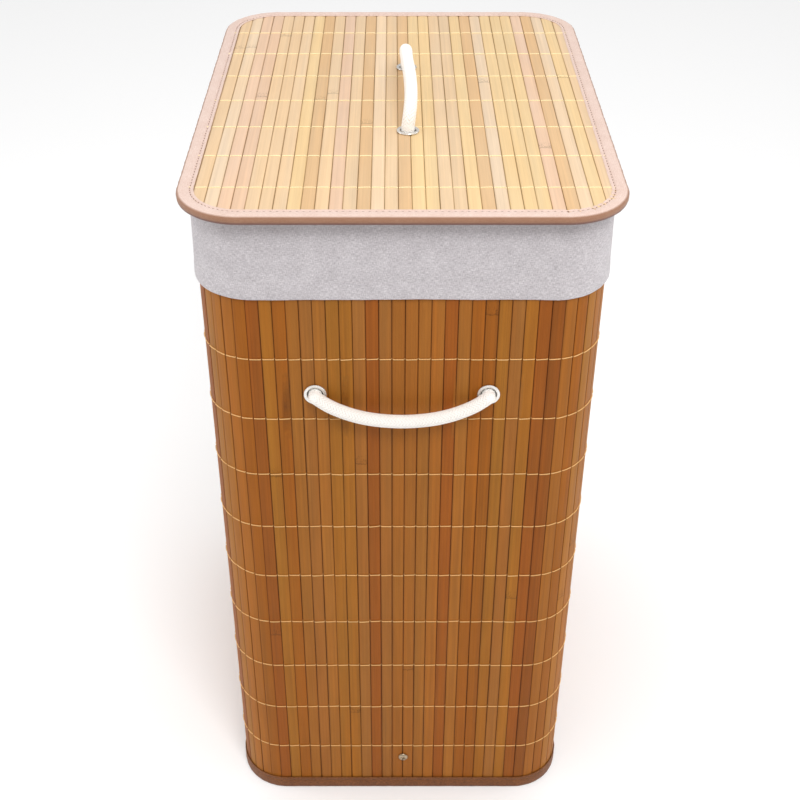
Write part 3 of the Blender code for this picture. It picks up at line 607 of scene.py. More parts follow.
def pierce(piece, centres, axis, radius):
    """Cut a round hole through a piece at each centre, along an axis.

    The cut makes new points, which take the slat values of the nearest old point in the plane
    across the slats, so that each slat keeps its own colour up to the hole's edge.
    """
    bpy.ops.mesh.primitive_cylinder_add(vertices=48, radius=radius, depth=0.03)
    cutter = bpy.context.object
    turn = Matrix.Rotation(math.pi / 2, 4, "X") if axis == "Y" else Matrix.Identity(4)
    base = cutter.data
    old_points, old_values = carried_values(piece)
    shape = bmesh.new()
    for centre in centres:
        copy = base.copy()
        copy.transform(Matrix.Translation(centre) @ turn)
        shape.from_mesh(copy)
        bpy.data.meshes.remove(copy)
    shape.to_mesh(base)
    shape.free()
    cut = piece.modifiers.new("holes", "BOOLEAN")
    cut.operation = "DIFFERENCE"
    cut.solver = "EXACT"
    cut.object = cutter
    with bpy.context.temp_override(object=piece, active_object=piece):
        bpy.ops.object.modifier_apply(modifier=cut.name)
    bpy.data.objects.remove(cutter)
    new_points, _ = carried_values(piece)
    plane, search = ([0, 1], 0.02) if axis == "Y" else ([0, 2], 0.5)
    for centre in centres:
        beside = np.flatnonzero(np.abs(old_points[:, :2] - centre[:2]).max(axis=1) < search)
        near = np.flatnonzero(np.linalg.norm(new_points - centre, axis=1) < 0.03)
        offsets = new_points[near][:, None, plane] - old_points[beside][None][..., plane]
        source = beside[np.linalg.norm(offsets, axis=2).argmin(axis=1)]
        for name, (field, values) in old_values.items():
            whole = np.empty(len(new_points) * values.shape[1], dtype=np.float32)
            layer = piece.data.attributes[name]
            layer.data.foreach_get(field, whole)
            whole = whole.reshape(len(new_points), -1)
            whole[near] = values[source]
            layer.data.foreach_set(field, whole.ravel())
    piece.data.set_sharp_from_angle(angle=math.radians(SLAT_SHARP))


def carried_values(piece):
    """A mesh's points, and its slat attributes as arrays."""
    points = np.empty(len(piece.data.vertices) * 3, dtype=np.float32)
    piece.data.vertices.foreach_get("co", points)
    found = {}
    for name, field, width in (("slat_colour", "color", 4), ("slat_number", "value", 1),
                               ("slat_ring", "value", 1)):
        values = np.empty(len(piece.data.vertices) * width, dtype=np.float32)
        piece.data.attributes[name].data.foreach_get(field, values)
        found[name] = (field, values.reshape(-1, width))
    return points.reshape(-1, 3), found


def drift(count, rows, size, random):
    """A slow sideways wander for each slat: two sine waves of random phase along its length."""
    along = np.linspace(0, 1, rows)
    phase = random.uniform(0, 2 * math.pi, (2, count, 1))
    return size * (np.sin(2 * math.pi * 1.3 * along + phase[0])
                   + 0.6 * np.sin(2 * math.pi * 3.1 * along + phase[1]))


def tone_array(letters, palette, random, spread):
    """Each slat's colour: its letter's, times a random factor near 1 with the given spread."""
    colours = np.array([paint(palette[letter]) for letter in letters])
    colours[:, :3] *= random.normal(1, spread, (len(letters), 1)).clip(0.8, 1.2)
    return colours


# The letters name the tone of each slat, from the middle of the front wall round towards +X. The
# front wall's are given, and the rest are drawn at random.
random = np.random.default_rng(11)
body_round = perimeter(BODY_HALF_X, BODY_HALF_Y, BODY_CORNER)
slat_pitch = body_round / BODY_SLATS
mat_rows = np.concatenate(([mat_low[2]], np.linspace(mat_low[2], mat_high[2], 20), [mat_high[2]]))
body_letters = list("clcrloogkgrrcoplg" + "".join(random.choice(list("cclogrkdp"), 103))
                    + "plcorgolklggkrkc")
middle_s = FIRST_JOINT + (np.arange(BODY_SLATS) + 0.5) * slat_pitch
middle_xy, normal_xy = outline(middle_s, BODY_HALF_X, BODY_HALF_Y, BODY_CORNER)
normals = np.concatenate((normal_xy, np.zeros((BODY_SLATS, 1))), axis=1)
rights = np.stack((-normal_xy[:, 1], normal_xy[:, 0], np.zeros(BODY_SLATS)), axis=1)
middles = np.empty((BODY_SLATS, len(mat_rows), 3))
wander = drift(BODY_SLATS, len(mat_rows), 0.00006, random)
middles[..., :2] = middle_xy[:, None] + wander[..., None] * rights[:, None, :2]
middles[..., 2] = mat_rows
middles[..., :2] -= random.uniform(0, 0.00022, (BODY_SLATS, 1, 1)) * normal_xy[:, None]
half_widths = (slat_pitch - JOINT_GAP) / 2 + drift(BODY_SLATS, len(mat_rows), 0.00005, random)
half_widths += random.normal(0, 0.00008, (BODY_SLATS, 1))
rings = np.where(random.uniform(size=BODY_SLATS) < 0.3, random.uniform(0.05, 0.56, BODY_SLATS), NO_RING)
body_bamboo = bamboo_finish("body_bamboo", 0.8, 0.48, 0.00010, Specular_IOR_Level=0.15)
wall_slats = slats("wall_slats", middles, rights, normals, half_widths,
                   slat_pitch / 2 - SLAT_CLEARANCE, BODY_GROOVE,
                   np.broadcast_to(mat_rows, (BODY_SLATS, len(mat_rows))),
                   tone_array(body_letters, BODY_TONES, random, 0.035), rings, 1.0, body_bamboo,
                   "body_bamboo")
pierce(wall_slats, [holes[key] for key in holes if key.startswith("side")], "Y", EYELET_HOLE_RADIUS)
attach(wall_slats, "basket")
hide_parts("wall_mat")

# ---------------------------------------------------------------------------------------------
# Mat strings: pale gold twine woven round the basket at eleven heights. It lies over each slat,
# slightly aslant, and dips into every joint to pass behind.
# ---------------------------------------------------------------------------------------------
LOWEST_STRING = 0.0616
STRING_SPACING = 0.0569
BODY_STRINGS = 11
STRING_RADIUS = 0.00047
STRING_DIP = 0.0019
STRING_SIDES = 5
STRING_SHARES = np.array([0, 0.045, 0.1, 0.3, 0.5, 0.7, 0.9, 0.955])    # points over each slat


def woven_offset(share, proud):
    """How far a string stands out of the mat's face: its full height over a slat, falling
    straight from 10% to 4.5% of the slat's width before each joint, and out of sight from there."""
    edge = np.minimum(share, 1 - share)
    return proud - STRING_DIP * np.clip((0.1 - edge) / 0.055, 0, 1)


def string_mesh(name, paths, outwards, closed, finish, slot):
    """Five-sided tubes along paths[string, point].

    side = tangent x outward, out = side x tangent, and a point is the path plus radius x (cos out
    + sin side). A string that isn't closed has its end rings drawn in to their middles.
    """
    tangent = np.roll(paths, -1, axis=1) - np.roll(paths, 1, axis=1)
    if not closed:
        tangent[:, 0], tangent[:, -1] = paths[:, 1] - paths[:, 0], paths[:, -1] - paths[:, -2]
    side = np.cross(tangent, outwards)
    side /= np.linalg.norm(side, axis=2)[..., None]
    out = np.cross(side, tangent)
    out /= np.linalg.norm(out, axis=2)[..., None]
    angle = (np.arange(STRING_SIDES) / STRING_SIDES) * 2 * math.pi
    rings = paths[:, :, None] + STRING_RADIUS * (np.cos(angle)[:, None] * out[:, :, None]
                                                 + np.sin(angle)[:, None] * side[:, :, None])
    count, rows = paths.shape[:2]
    if not closed:
        rings[:, 0] = rings[:, 0].mean(axis=1, keepdims=True)
        rings[:, -1] = rings[:, -1].mean(axis=1, keepdims=True)
    faces, _, _ = grid_faces(rows, STRING_SIDES, closed, True)
    shift = (np.arange(count) * rows * STRING_SIDES)[:, None, None]
    return mesh_piece(name, rings, faces[None] + shift, sharp=180, finish=finish, slot=slot)


def twine_finish(name, light, dark, roughness):
    """Twisted twine: a fine slanting stripe and a little mottling."""
    finish, tree, shader = material(name, roughness)
    place = node(tree, "ShaderNodeTexCoord")
    twist = node(tree, "ShaderNodeTexWave", {"Vector": place.outputs["Object"], "Scale": 320.0,
                                             "Distortion": 1.5}, bands_direction="DIAGONAL")
    mottle = node(tree, "ShaderNodeTexNoise", {"Vector": place.outputs["Object"], "Scale": 60.0})
    share = node(tree, "ShaderNodeMath", {0: twist.outputs["Fac"], 1: mottle.outputs["Fac"]},
                 operation="MULTIPLY")
    colour = node(tree, "ShaderNodeMix", {"Factor": share.outputs[0], 6: paint(light),
                                          7: paint(dark)}, data_type="RGBA")
    tree.links.new(colour.outputs[2], shader.inputs["Base Color"])
    relief(tree, shader, twist.outputs["Fac"], 0.00008)
    return finish


# A string's height is its row's, less or more by a small level and slant of its own on each slat.
share = np.tile(STRING_SHARES, BODY_SLATS)
string_s = FIRST_JOINT + (np.repeat(np.arange(BODY_SLATS), len(STRING_SHARES)) + share) * slat_pitch
string_xy, string_normal = outline(string_s, BODY_HALF_X, BODY_HALF_Y, BODY_CORNER)
string_xy = string_xy + woven_offset(share, 0.00022)[:, None] * string_normal
slants = random.normal(0.00030, 0.00030, (BODY_STRINGS, BODY_SLATS))
levels = random.normal(0, 0.00020, (BODY_STRINGS, BODY_SLATS))
steps = len(STRING_SHARES)
string_z = (LOWEST_STRING + STRING_SPACING * np.arange(BODY_STRINGS)[:, None]
            + np.repeat(slants, steps, axis=1) * (share - 0.5) * (share > 0)
            + np.repeat(levels, steps, axis=1))
paths = np.concatenate((np.broadcast_to(string_xy, (BODY_STRINGS, *string_xy.shape)),
                        string_z[..., None]), axis=2)
outwards = np.concatenate((string_normal, np.zeros((len(share), 1))), axis=1)
gold_twine = twine_finish("gold_twine", "#E9BA79", "#C79250", 0.55)
wall_strings = string_mesh("wall_strings", paths, np.broadcast_to(outwards, paths.shape), True,
                           gold_twine, "body_bamboo")
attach(wall_strings, "basket")

# ---------------------------------------------------------------------------------------------
# Bindings of the basket: brown-pink twill tape folded over the mat's bottom edge, and a second
# one over the hoop at its rim, both stitched through. The liner's cuff hides the upper one.
# ---------------------------------------------------------------------------------------------
BINDING_COLUMNS = 720
BINDING_STITCH_PITCH = 0.0036
BINDING_STITCH_LENGTH = 0.0023
BINDING_STITCH_RADIUS = 0.00028
STITCH_RINGS = 6
STITCH_SIDES = 6


def twill_group():
    """Woven tape or cloth: fine slanting ribs, slubs along both threads, and a soft mottling.

    Ribs is the number of ribs in a metre, Slant how far they lean, from 0 for plain weave, and
    Slub how strongly single threads stand out.
    """
    group = bpy.data.node_groups.new("woven_cloth", "ShaderNodeTree")
    for name, kind in (("Colour", "NodeSocketColor"), ("Second", "NodeSocketColor"),
                       ("Place", "NodeSocketVector"), ("Ribs", "NodeSocketFloat"),
                       ("Slant", "NodeSocketFloat"), ("Slub", "NodeSocketFloat")):
        group.interface.new_socket(name, in_out="INPUT", socket_type=kind)
    group.interface.new_socket("Colour", in_out="OUTPUT", socket_type="NodeSocketColor")
    group.interface.new_socket("Height", in_out="OUTPUT", socket_type="NodeSocketFloat")
    given = node(group, "NodeGroupInput").outputs
    axes = node(group, "ShaderNodeSeparateXYZ", {0: given["Place"]}).outputs

    def math_of(operation, first, second=0.0):
        return node(group, "ShaderNodeMath", {0: first, 1: second}, operation=operation).outputs[0]

    def threads(across, along, detail):
        place = node(group, "ShaderNodeCombineXYZ", {0: math_of("MULTIPLY", axes[0], across),
                                                     1: math_of("MULTIPLY", axes[1], along)})
        return node(group, "ShaderNodeTexNoise", {"Vector": place.outputs[0], "Scale": 1.0,
                                                  "Detail": detail, "Roughness": 0.55}).outputs["Fac"]

    leaning = math_of("MULTIPLY_ADD", axes[1], given["Slant"])
    group.nodes[leaning.node.name].inputs[2].default_value = 0.0
    group.links.new(axes[0], leaning.node.inputs[2])
    turn = 6.2832
    rib = math_of("SINE", math_of("MULTIPLY", math_of("MULTIPLY", leaning, given["Ribs"]), turn))
    cross = math_of("SINE", math_of("MULTIPLY", math_of("MULTIPLY", axes[1], given["Ribs"]), turn))
    weave = math_of("MULTIPLY_ADD", math_of("ADD", rib, math_of("MULTIPLY", cross, 0.5)), 0.33)
    weave.node.inputs[2].default_value = 0.5
    warp, weft = threads(1900, 420, 2), threads(300, 1700, 2)
    slubs = math_of("SUBTRACT", math_of("ADD", warp, weft), 1.0)
    share = math_of("ADD", math_of("MULTIPLY", slubs, given["Slub"]),
                    math_of("MULTIPLY", threads(70, 70, 3), 0.5))
    share = math_of("ADD", share, math_of("MULTIPLY", weave, 0.3))
    held = node(group, "ShaderNodeClamp", {"Value": share})
    colour = node(group, "ShaderNodeMix", {"Factor": held.outputs[0], 6: given["Second"],
                                           7: given["Colour"]}, data_type="RGBA")
    out = node(group, "NodeGroupOutput")
    group.links.new(colour.outputs[2], out.inputs["Colour"])
    group.links.new(math_of("ADD", math_of("MULTIPLY", weave, 0.6), math_of("MULTIPLY", slubs, 0.8)),
                    out.inputs["Height"])
    return group


woven_cloth = twill_group()


def cloth_finish(name, light, dark, ribs, slant, slub, roughness, depth, place="UV", **shader_values):
    """Cloth in two tones, on a piece's own cloth map or on Object coordinates."""
    finish, tree, shader = material(name, roughness, Specular_IOR_Level=0.2, **shader_values)
    if place == "UV":
        source = node(tree, "ShaderNodeUVMap", uv_map="cloth").outputs["UV"]
    else:
        source = node(tree, "ShaderNodeTexCoord").outputs["Object"]
        axes = node(tree, "ShaderNodeSeparateXYZ", {0: source}).outputs
        around = node(tree, "ShaderNodeMath", {0: axes[0], 1: axes[1]}, operation="ADD")
        upward = axes[2] if place == "upright" else axes[1]
        sideways = around.outputs[0] if place == "upright" else axes[0]
        source = node(tree, "ShaderNodeCombineXYZ", {0: sideways, 1: upward}).outputs[0]
    weave = node(tree, "ShaderNodeGroup", node_tree=woven_cloth)
    tree.links.new(source, weave.inputs["Place"])
    for socket, value in (("Colour", paint(light)), ("Second", paint(dark)), ("Ribs", ribs),
                          ("Slant", slant), ("Slub", slub)):
        weave.inputs[socket].default_value = value
    tree.links.new(weave.outputs["Colour"], shader.inputs["Base Color"])
    relief(tree, shader, weave.outputs["Height"], depth)
    return finish


def swept_band(name, profile, half_x, half_y, corner, columns, ripple, random, finish, slot,
               puckers=()):
    """A profile of (outward offset, height) carried round a rounded rectangle.

    A point is the outline's point + offset x normal. It ripples slightly, moving out by ripple
    times three sine waves of the distance round. At each pucker (distance, half width, depth) it
    sinks by depth x exp(-(gap / half width)^2), most at its inner edge.
    """
    profile = np.array(profile, float)
    around = perimeter(half_x, half_y, corner)
    distance = np.arange(columns) / columns * around
    point, normal = outline(distance, half_x, half_y, corner)
    phase = random.uniform(0, 2 * math.pi, 3)
    waves = sum(np.sin(2 * math.pi * count * distance / around + phase[i])
                for i, count in enumerate((37, 91, 163))) / 3
    reach = profile[:, 0, None] + ripple * waves[None]
    points = np.empty((len(profile), columns, 3))
    points[..., :2] = point[None] + reach[..., None] * normal[None]
    points[..., 2] = profile[:, 1, None] + 0.4 * ripple * waves[None]
    inner_share = np.clip((-0.002 - profile[:, 0]) / 0.008, 0, 1)
    inner_share *= profile[:, 1] > profile[:, 1].mean()
    for middle, half_width, depth in puckers:
        sink = depth * np.exp(-((distance - middle) / half_width) ** 2)
        points[..., 2] -= inner_share[:, None] * sink[None]
    down = np.concatenate(([0], np.cumsum(np.linalg.norm(np.diff(
        np.vstack((profile, profile[:1])), axis=0), axis=1))))
    across = np.arange(columns + 1) / columns * around
    return grid_piece(name, points, down, across, True, True, sharp=50, finish=finish, slot=slot)


def stitches(name, points, alongs, outs, length, radius, finish, slot):
    """A row of stitches, each a long ellipsoid: from pole to pole, centre + along x half length x
    cos a + radius x sin a x (cos b out + sin b side)."""
    polar = np.linspace(0, math.pi, STITCH_RINGS)[:, None, None]
    around = (np.arange(STITCH_SIDES) / STITCH_SIDES * 2 * math.pi)[None, :, None]
    alongs = alongs / np.linalg.norm(alongs, axis=1)[:, None]
    sides = np.cross(alongs, outs)
    a, o, s = alongs[:, None, None], outs[:, None, None], sides[:, None, None]
    rings = (points[:, None, None] + length / 2 * np.cos(polar) * a
             + radius * np.sin(polar) * (np.cos(around) * o + np.sin(around) * s))
    faces, _, _ = grid_faces(STITCH_RINGS, STITCH_SIDES, False, True)
    shift = (np.arange(len(points)) * STITCH_RINGS * STITCH_SIDES)[:, None, None]
    return mesh_piece(name, rings, faces[None] + shift, sharp=180, finish=finish, slot=slot)


def stitch_ring(name, half_x, half_y, corner, offset, height, outward_up, pitch, length, radius,
                finish, slot):
    """Stitches at an even pitch round a rounded rectangle, facing outwards or upwards: each is at
    the outline's point + offset x normal, along the tangent."""
    around = perimeter(half_x, half_y, corner)
    count = int(around / pitch)
    point, normal = outline(np.arange(count) / count * around, half_x, half_y, corner)
    flat = np.zeros((count, 1))
    points = np.hstack((point + offset * normal, flat + height))
    alongs = np.hstack((np.stack((-normal[:, 1], normal[:, 0]), 1), flat))
    outs = np.tile((0.0, 0.0, 1.0), (count, 1)) if outward_up else np.hstack((normal, flat))
    return stitches(name, points, alongs, outs, length, radius, finish, slot)


def thread_finish(name, code):
    """Sewing thread, with a faint twist in its shade."""
    finish, tree, shader = material(name, 0.6)
    place = node(tree, "ShaderNodeTexCoord")
    twist = node(tree, "ShaderNodeTexNoise", {"Vector": place.outputs["Object"], "Scale": 900.0})
    tint = paint(code)
    colour = node(tree, "ShaderNodeMix", {
        "Factor": twist.outputs["Fac"], 6: tuple(0.75 * c for c in tint[:3]) + (1.0,),
        7: tuple(min(1.0, 1.2 * c) for c in tint[:3]) + (1.0,)}, data_type="RGBA")
    tree.links.new(colour.outputs[2], shader.inputs["Base Color"])
    return finish


brown_twill = cloth_finish("brown_twill", "#985E32", "#563014", 620, 0.9, 1.6, 0.8, 0.00012,
                           Sheen_Weight=0.15)
# A tape's profile goes up its outer face, over and down inside: (outward offset, height).
bottom_profile = [(0.0012, 0.0006), (0.0014, 0.003), (0.0013, 0.007), (0.0012, 0.0102), (0.0009, 0.0112),
                  (0.0013, 0.0122), (0.0013, 0.0136), (0.0009, 0.0141), (0.0003, 0.0140),
                  (0.0003, 0.0120), (0.0003, 0.0060), (0.0002, 0.0011), (-0.0015, 0.0009),
                  (-0.0030, 0.0011), (-0.0031, 0.0050), (-0.0031, 0.0138), (-0.0037, 0.0140),
                  (-0.0040, 0.0136), (-0.0039, 0.0120), (-0.0040, 0.0060), (-0.0040, 0.0012),
                  (-0.0036, 0.0003), (-0.0020, 0.0000), (0.0000, 0.0000), (0.0008, 0.0001)]
bottom_tape = swept_band("bottom_tape", bottom_profile, BODY_HALF_X, BODY_HALF_Y, BODY_CORNER,
                         BINDING_COLUMNS, 0.00012, random, brown_twill, "body_binding")
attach(bottom_tape, "basket")
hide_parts("bottom_binding")
rim_low, rim_high = (corner[2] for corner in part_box("rim_binding"))
rim_profile = [(0.0005, rim_low + 0.0004), (0.0006, rim_low + 0.003), (0.0006, rim_high - 0.004),
               (0.0005, rim_high - 0.0008), (-0.0002, rim_high), (-0.0040, rim_high),
               (-0.0072, rim_high - 0.0001), (-0.0079, rim_high - 0.0009), (-0.0080, rim_high - 0.006),
               (-0.0080, rim_low + 0.003), (-0.0079, rim_low + 0.0003), (-0.0076, rim_low),
               (-0.0074, rim_low + 0.0003), (-0.0074, rim_high - 0.0012), (-0.0068, rim_high - 0.0006),
               (-0.0040, rim_high - 0.0005), (-0.0004, rim_high - 0.0005), (0.0002, rim_high - 0.0010),
               (0.0002, rim_low + 0.0003), (0.0003, rim_low)]
rim_tape = swept_band("rim_tape", rim_profile, BODY_HALF_X, BODY_HALF_Y, BODY_CORNER,
                      BINDING_COLUMNS, 0.00008, random, brown_twill, "body_binding")
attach(rim_tape, "basket")
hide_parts("rim_binding")
brown_thread = thread_finish("brown_thread", "#6B4636")
for name, height, offset in (("bottom_tape_stitches", 0.0112, 0.00105),
                             ("rim_tape_stitches", rim_low + 0.003, 0.0006)):
    row = stitch_ring(name, BODY_HALF_X, BODY_HALF_Y, BODY_CORNER, offset, height, False,
                      BINDING_STITCH_PITCH, BINDING_STITCH_LENGTH, BINDING_STITCH_RADIUS,
                      brown_thread, "body_binding")
    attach(row, "basket")

# ---------------------------------------------------------------------------------------------
# Eyelets: nickel-plated rings rolled over the mat's face, each clenched to a washer behind the
# wall or the lid. The rope handles pass through them.
# ---------------------------------------------------------------------------------------------
TURN_STEPS = 96
EYELET_BORE = 0.0063            # radius
BORE_ROUND = 0.0009             # radius of the roll's inner edge
CREST_ANGLES = math.pi * (-0.35 + 1.35 / 11 * np.arange(6))     # round the roll, from its rim up


def turned(name, profile, centre, axis, finish, slot):
    """A profile of (radius, height) turned round an axis: centre + height x axis + radius x (cos
    first + sin second), where first and second are square to the axis."""
    profile = np.array(profile, float)
    axis = np.array(axis, float)
    first = np.cross(axis, (0, 0, 1.0) if abs(axis[2]) < 0.5 else (1.0, 0, 0))
    second = np.cross(axis, first)
    angle = (np.arange(TURN_STEPS) / TURN_STEPS * 2 * math.pi)[None, :, None]
    points = (np.array(centre) + profile[:, 1, None, None] * axis
              + profile[:, 0, None, None] * (np.cos(angle) * first + np.sin(angle) * second))
    return grid_piece(name, points, along_path(np.vstack((profile, profile[:1]))),
                      np.arange(TURN_STEPS + 1) / TURN_STEPS * 0.05, True, True, sharp=45,
                      finish=finish, slot=slot)


def metal_finish(name, code, roughness, scratches, metallic=1.0):
    """Plated or bare steel: fine scratches and smudges in its gloss."""
    finish, tree, shader = material(name, roughness, metallic)
    place = node(tree, "ShaderNodeTexCoord")
    smudge = node(tree, "ShaderNodeTexNoise", {"Vector": place.outputs["Object"], "Scale": 260.0,
                                               "Detail": 4.0})
    fine = node(tree, "ShaderNodeTexNoise", {"Vector": place.outputs["Object"], "Scale": 2600.0,
                                             "Detail": 2.0})
    gloss = node(tree, "ShaderNodeMapRange", {"Value": smudge.outputs["Fac"], "From Min": 0.3,
                                              "From Max": 0.7, "To Min": roughness - 0.06,
                                              "To Max": roughness + 0.12})
    tree.links.new(gloss.outputs["Result"], shader.inputs["Roughness"])
    tint = paint(code)
    colour = node(tree, "ShaderNodeMix", {
        "Factor": smudge.outputs["Fac"], 6: tint, 7: tuple(0.8 * c for c in tint[:3]) + (1.0,)},
        data_type="RGBA")
    tree.links.new(colour.outputs[2], shader.inputs["Base Color"])
    relief(tree, shader, fine.outputs["Fac"], scratches)
    return finish


nickel = metal_finish("bright_nickel", "#EFEDEA", 0.24, 0.00002, 0.75)
for key, centre in holes.items():
    on_lid = key.startswith("lid")
    axis = (0, 0, 1) if on_lid else (0, math.copysign(1, centre[1]), 0)
    low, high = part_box(key)
    flange = (high[0] - low[0]) / 2
    rise = high[2] - centre[2] if on_lid else abs(high[1] if axis[1] > 0 else low[1]) - abs(centre[1])
    back_low, back_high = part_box(key.replace("eyelet", "eyelet_washer"))
    if on_lid:
        back = back_low[2] - centre[2]
    else:
        back = min(abs(back_low[1]), abs(back_high[1])) - abs(centre[1])
    bore, roll = EYELET_BORE, rise / 2
    crest = [(flange - roll + roll * math.cos(a), roll + roll * math.sin(a)) for a in CREST_ANGLES]
    inner = [(bore + BORE_ROUND * (1 - math.sin(a)), rise - BORE_ROUND * (1 - math.cos(a)))
             for a in np.linspace(0, math.pi / 2, 6)]
    profile = [*crest, *inner, (bore, back + 0.0009), (bore + 0.0002, back + 0.0002),
               (bore + 0.0009, back - 0.0003), (bore + 0.0014, back), (bore + 0.0007, back + 0.0006),
               (bore + 0.0007, -0.0004), (bore + 0.0007, 0.0001), (flange - 0.0006, 0.0001)]
    ring = turned(key.replace("eyelet", "ring"), profile, centre, axis, nickel, "nickel")
    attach(ring, "lid" if on_lid else "basket")
    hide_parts(key)
    reach = (back_high[0] - back_low[0]) / 2
    thick = (back_high[2] - back_low[2]) if on_lid else (back_high[1] - back_low[1])
    washer_profile = [(bore + 0.0008, back + 0.0002), (bore + 0.0011, back), (reach - 0.0004, back),
                      (reach, back + 0.0003), (reach, back + thick - 0.0002),
                      (reach - 0.0003, back + thick), (bore + 0.0008, back + thick)]
    washer = turned(key.replace("eyelet", "washer"), washer_profile, centre, axis, nickel, "nickel")
    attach(washer, "lid" if on_lid else "basket")
    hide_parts(key.replace("eyelet", "eyelet_washer"))

# ---------------------------------------------------------------------------------------------
# Screws: six plated pan-head screws through the wall into the battens that carry the floor.
# Each head has a shallow cross recess.
# ---------------------------------------------------------------------------------------------
SCREW_HEAD = 0.0024             # height
RECESS_HALF_WIDTH = 0.00055     # of each slot of the cross
RECESS_EDGE = 0.0002
RECESS_REACH = 0.0025           # from the middle to a slot's end
RECESS_DEPTH = 0.0011
screw_steel = metal_finish("screw_steel", "#B9A88F", 0.30, 0.00002)
for number, name in enumerate(("front", "back", "left_front", "left_back", "right_front", "right_back")):
    low, high = (np.array(corner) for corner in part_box(f"base_screw_{name}"))
    facing = {"f": (0, -1, 0), "b": (0, 1, 0), "l": (-1, 0, 0), "r": (1, 0, 0)}[name[0]]
    axis = np.array(facing, float)
    across_size = (high[2] - low[2]) / 2
    outer = np.where(axis > 0, high, low)
    tip = np.where(axis == 0, (low + high) / 2, outer)
    # The face is a dome over the share r of the radius: -head x (1 - sqrt(1 - (0.93 r) ^ 2.6)),
    # less the cross, which is turned by its own angle on each screw.
    reach = np.linspace(0, 1, 26)[:, None]
    angle = (np.arange(TURN_STEPS) / TURN_STEPS * 2 * math.pi)[None]
    spin = 0.35 + 0.9 * number
    across = across_size * reach * np.cos(angle)
    upward = across_size * reach * np.sin(angle)
    turned_x = across * math.cos(spin) + upward * math.sin(spin)
    turned_y = upward * math.cos(spin) - across * math.sin(spin)
    slot_one, slot_two = (np.clip((RECESS_HALF_WIDTH - np.abs(off)) / RECESS_EDGE, 0, 1)
                          * (np.abs(along) < RECESS_REACH)
                          for off, along in ((turned_x, turned_y), (turned_y, turned_x)))
    dome = -SCREW_HEAD * (1 - np.sqrt(np.clip(1 - (0.93 * reach) ** 2.6, 0, 1)))
    depth = dome + 0 * angle - RECESS_DEPTH * np.maximum(slot_one, slot_two)
    first = np.cross(axis, (0, 0, 1.0))
    face = (tip + depth[..., None] * axis + across[..., None] * first
            + upward[..., None] * np.array((0, 0, 1.0)))
    seat = tip - SCREW_HEAD * axis
    rim = seat + (face[-1:] - tip - (((face[-1:] - tip) @ axis)[..., None] * axis))
    neck = np.broadcast_to(seat, rim.shape)
    points = np.concatenate((face, rim, neck))
    piece = grid_piece(f"screw_{name}", points, np.arange(len(points)) * 0.0002,
                       np.arange(TURN_STEPS + 1) * 0.0003, wrap_columns=True, sharp=40,
                       finish=screw_steel, slot="nickel")
    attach(piece, "basket")
    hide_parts(f"base_screw_{name}")

# ---------------------------------------------------------------------------------------------
# Liner: a bag of heathered grey-white linen-like cloth, 0.8 mm thick. It lines the basket from
# its floor up, folds over the rim and hangs outside as a 70 mm cuff with a turned-up, sewn hem.
# ---------------------------------------------------------------------------------------------
LINER_COLUMNS = 320
CLOTH = 0.0008
FOLD_TOP = 0.6413               # height of the fold over the rim
FLOOR_ROWS = 11
CUFF_ROWS = 41

floor_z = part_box("liner_bag")[0][2] + CLOTH / 2
bag = (0.1419, 0.1794, 0.0396)
upper = (BODY_HALF_X - 0.0086, BODY_HALF_Y - 0.0086, BODY_CORNER - 0.0086)


def grown(amount):
    """The sizes of the basket's outline, moved outwards."""
    return (BODY_HALF_X + amount, BODY_HALF_Y + amount, BODY_CORNER + amount)


# Rows from the floor's middle, up the bag, over the rim and down the cuff to the back of its hem.
# Each is (half x, half y, corner), a height, and how freely the cloth falls into folds there.
rows = [(tuple(k * size for size in bag), floor_z, 0.0) for k in np.linspace(0, 0.955, FLOOR_ROWS)]
rows += [((bag[0] - 0.006 * (1 - math.sin(a)), bag[1] - 0.006 * (1 - math.sin(a)),
           bag[2] - 0.006 * (1 - math.sin(a))), floor_z + 0.006 * (1 - math.cos(a)), 0.1)
         for a in np.linspace(0.15, math.pi / 2, 5)]
rows += [(bag, z, 1.0) for z in np.linspace(0.080, 0.497, 34)]
rows += [(tuple(np.interp(k, (0, 1), pair) for pair in zip(bag, upper)), 0.497 + 0.096 * k, 1 - k)
         for k in np.linspace(0.1, 1, 9)]
rows += [(upper, z, 0.0) for z in (0.604, 0.615, 0.626, 0.634, 0.6385)]
rows += [(grown(offset), z, 0.0) for offset, z in (
    (-0.0084, 0.6402), (-0.0078, 0.6410), (-0.0066, FOLD_TOP), (-0.0035, FOLD_TOP),
    (-0.0008, FOLD_TOP), (0.0003, 0.6409), (0.0009, 0.6402), (0.0011, 0.6388))]
rows += [(grown(0.0011 + 0.00035 * k), 0.6360 - 0.0460 * k, 0.0) for k in np.linspace(0, 1, 22)]
rows += [(grown(offset), z, 0.0) for offset, z in (
    (0.00148, 0.5884), (0.00140, 0.5874), (0.00136, 0.5870), (0.00142, 0.5866), (0.0016, 0.5856),
    (0.0018, 0.5830), (0.0019, 0.5800), (0.0020, 0.5770), (0.0020, 0.5745), (0.0019, 0.5730),
    (0.0016, 0.5722), (0.0011, 0.5722), (0.0007, 0.5730), (0.0006, 0.5750), (0.0006, 0.5800),
    (0.0006, 0.5862))]
share = np.arange(LINER_COLUMNS) / LINER_COLUMNS
points = np.empty((len(rows), LINER_COLUMNS, 3))
for index, (sizes, z, _) in enumerate(rows):
    sizes = np.maximum(sizes, 1e-6)
    points[index, :, :2], _ = outline(share * perimeter(*sizes), *sizes)
    points[index, :, 2] = z
points[0, :, :2] = 0            # the floor's middle, where all columns meet
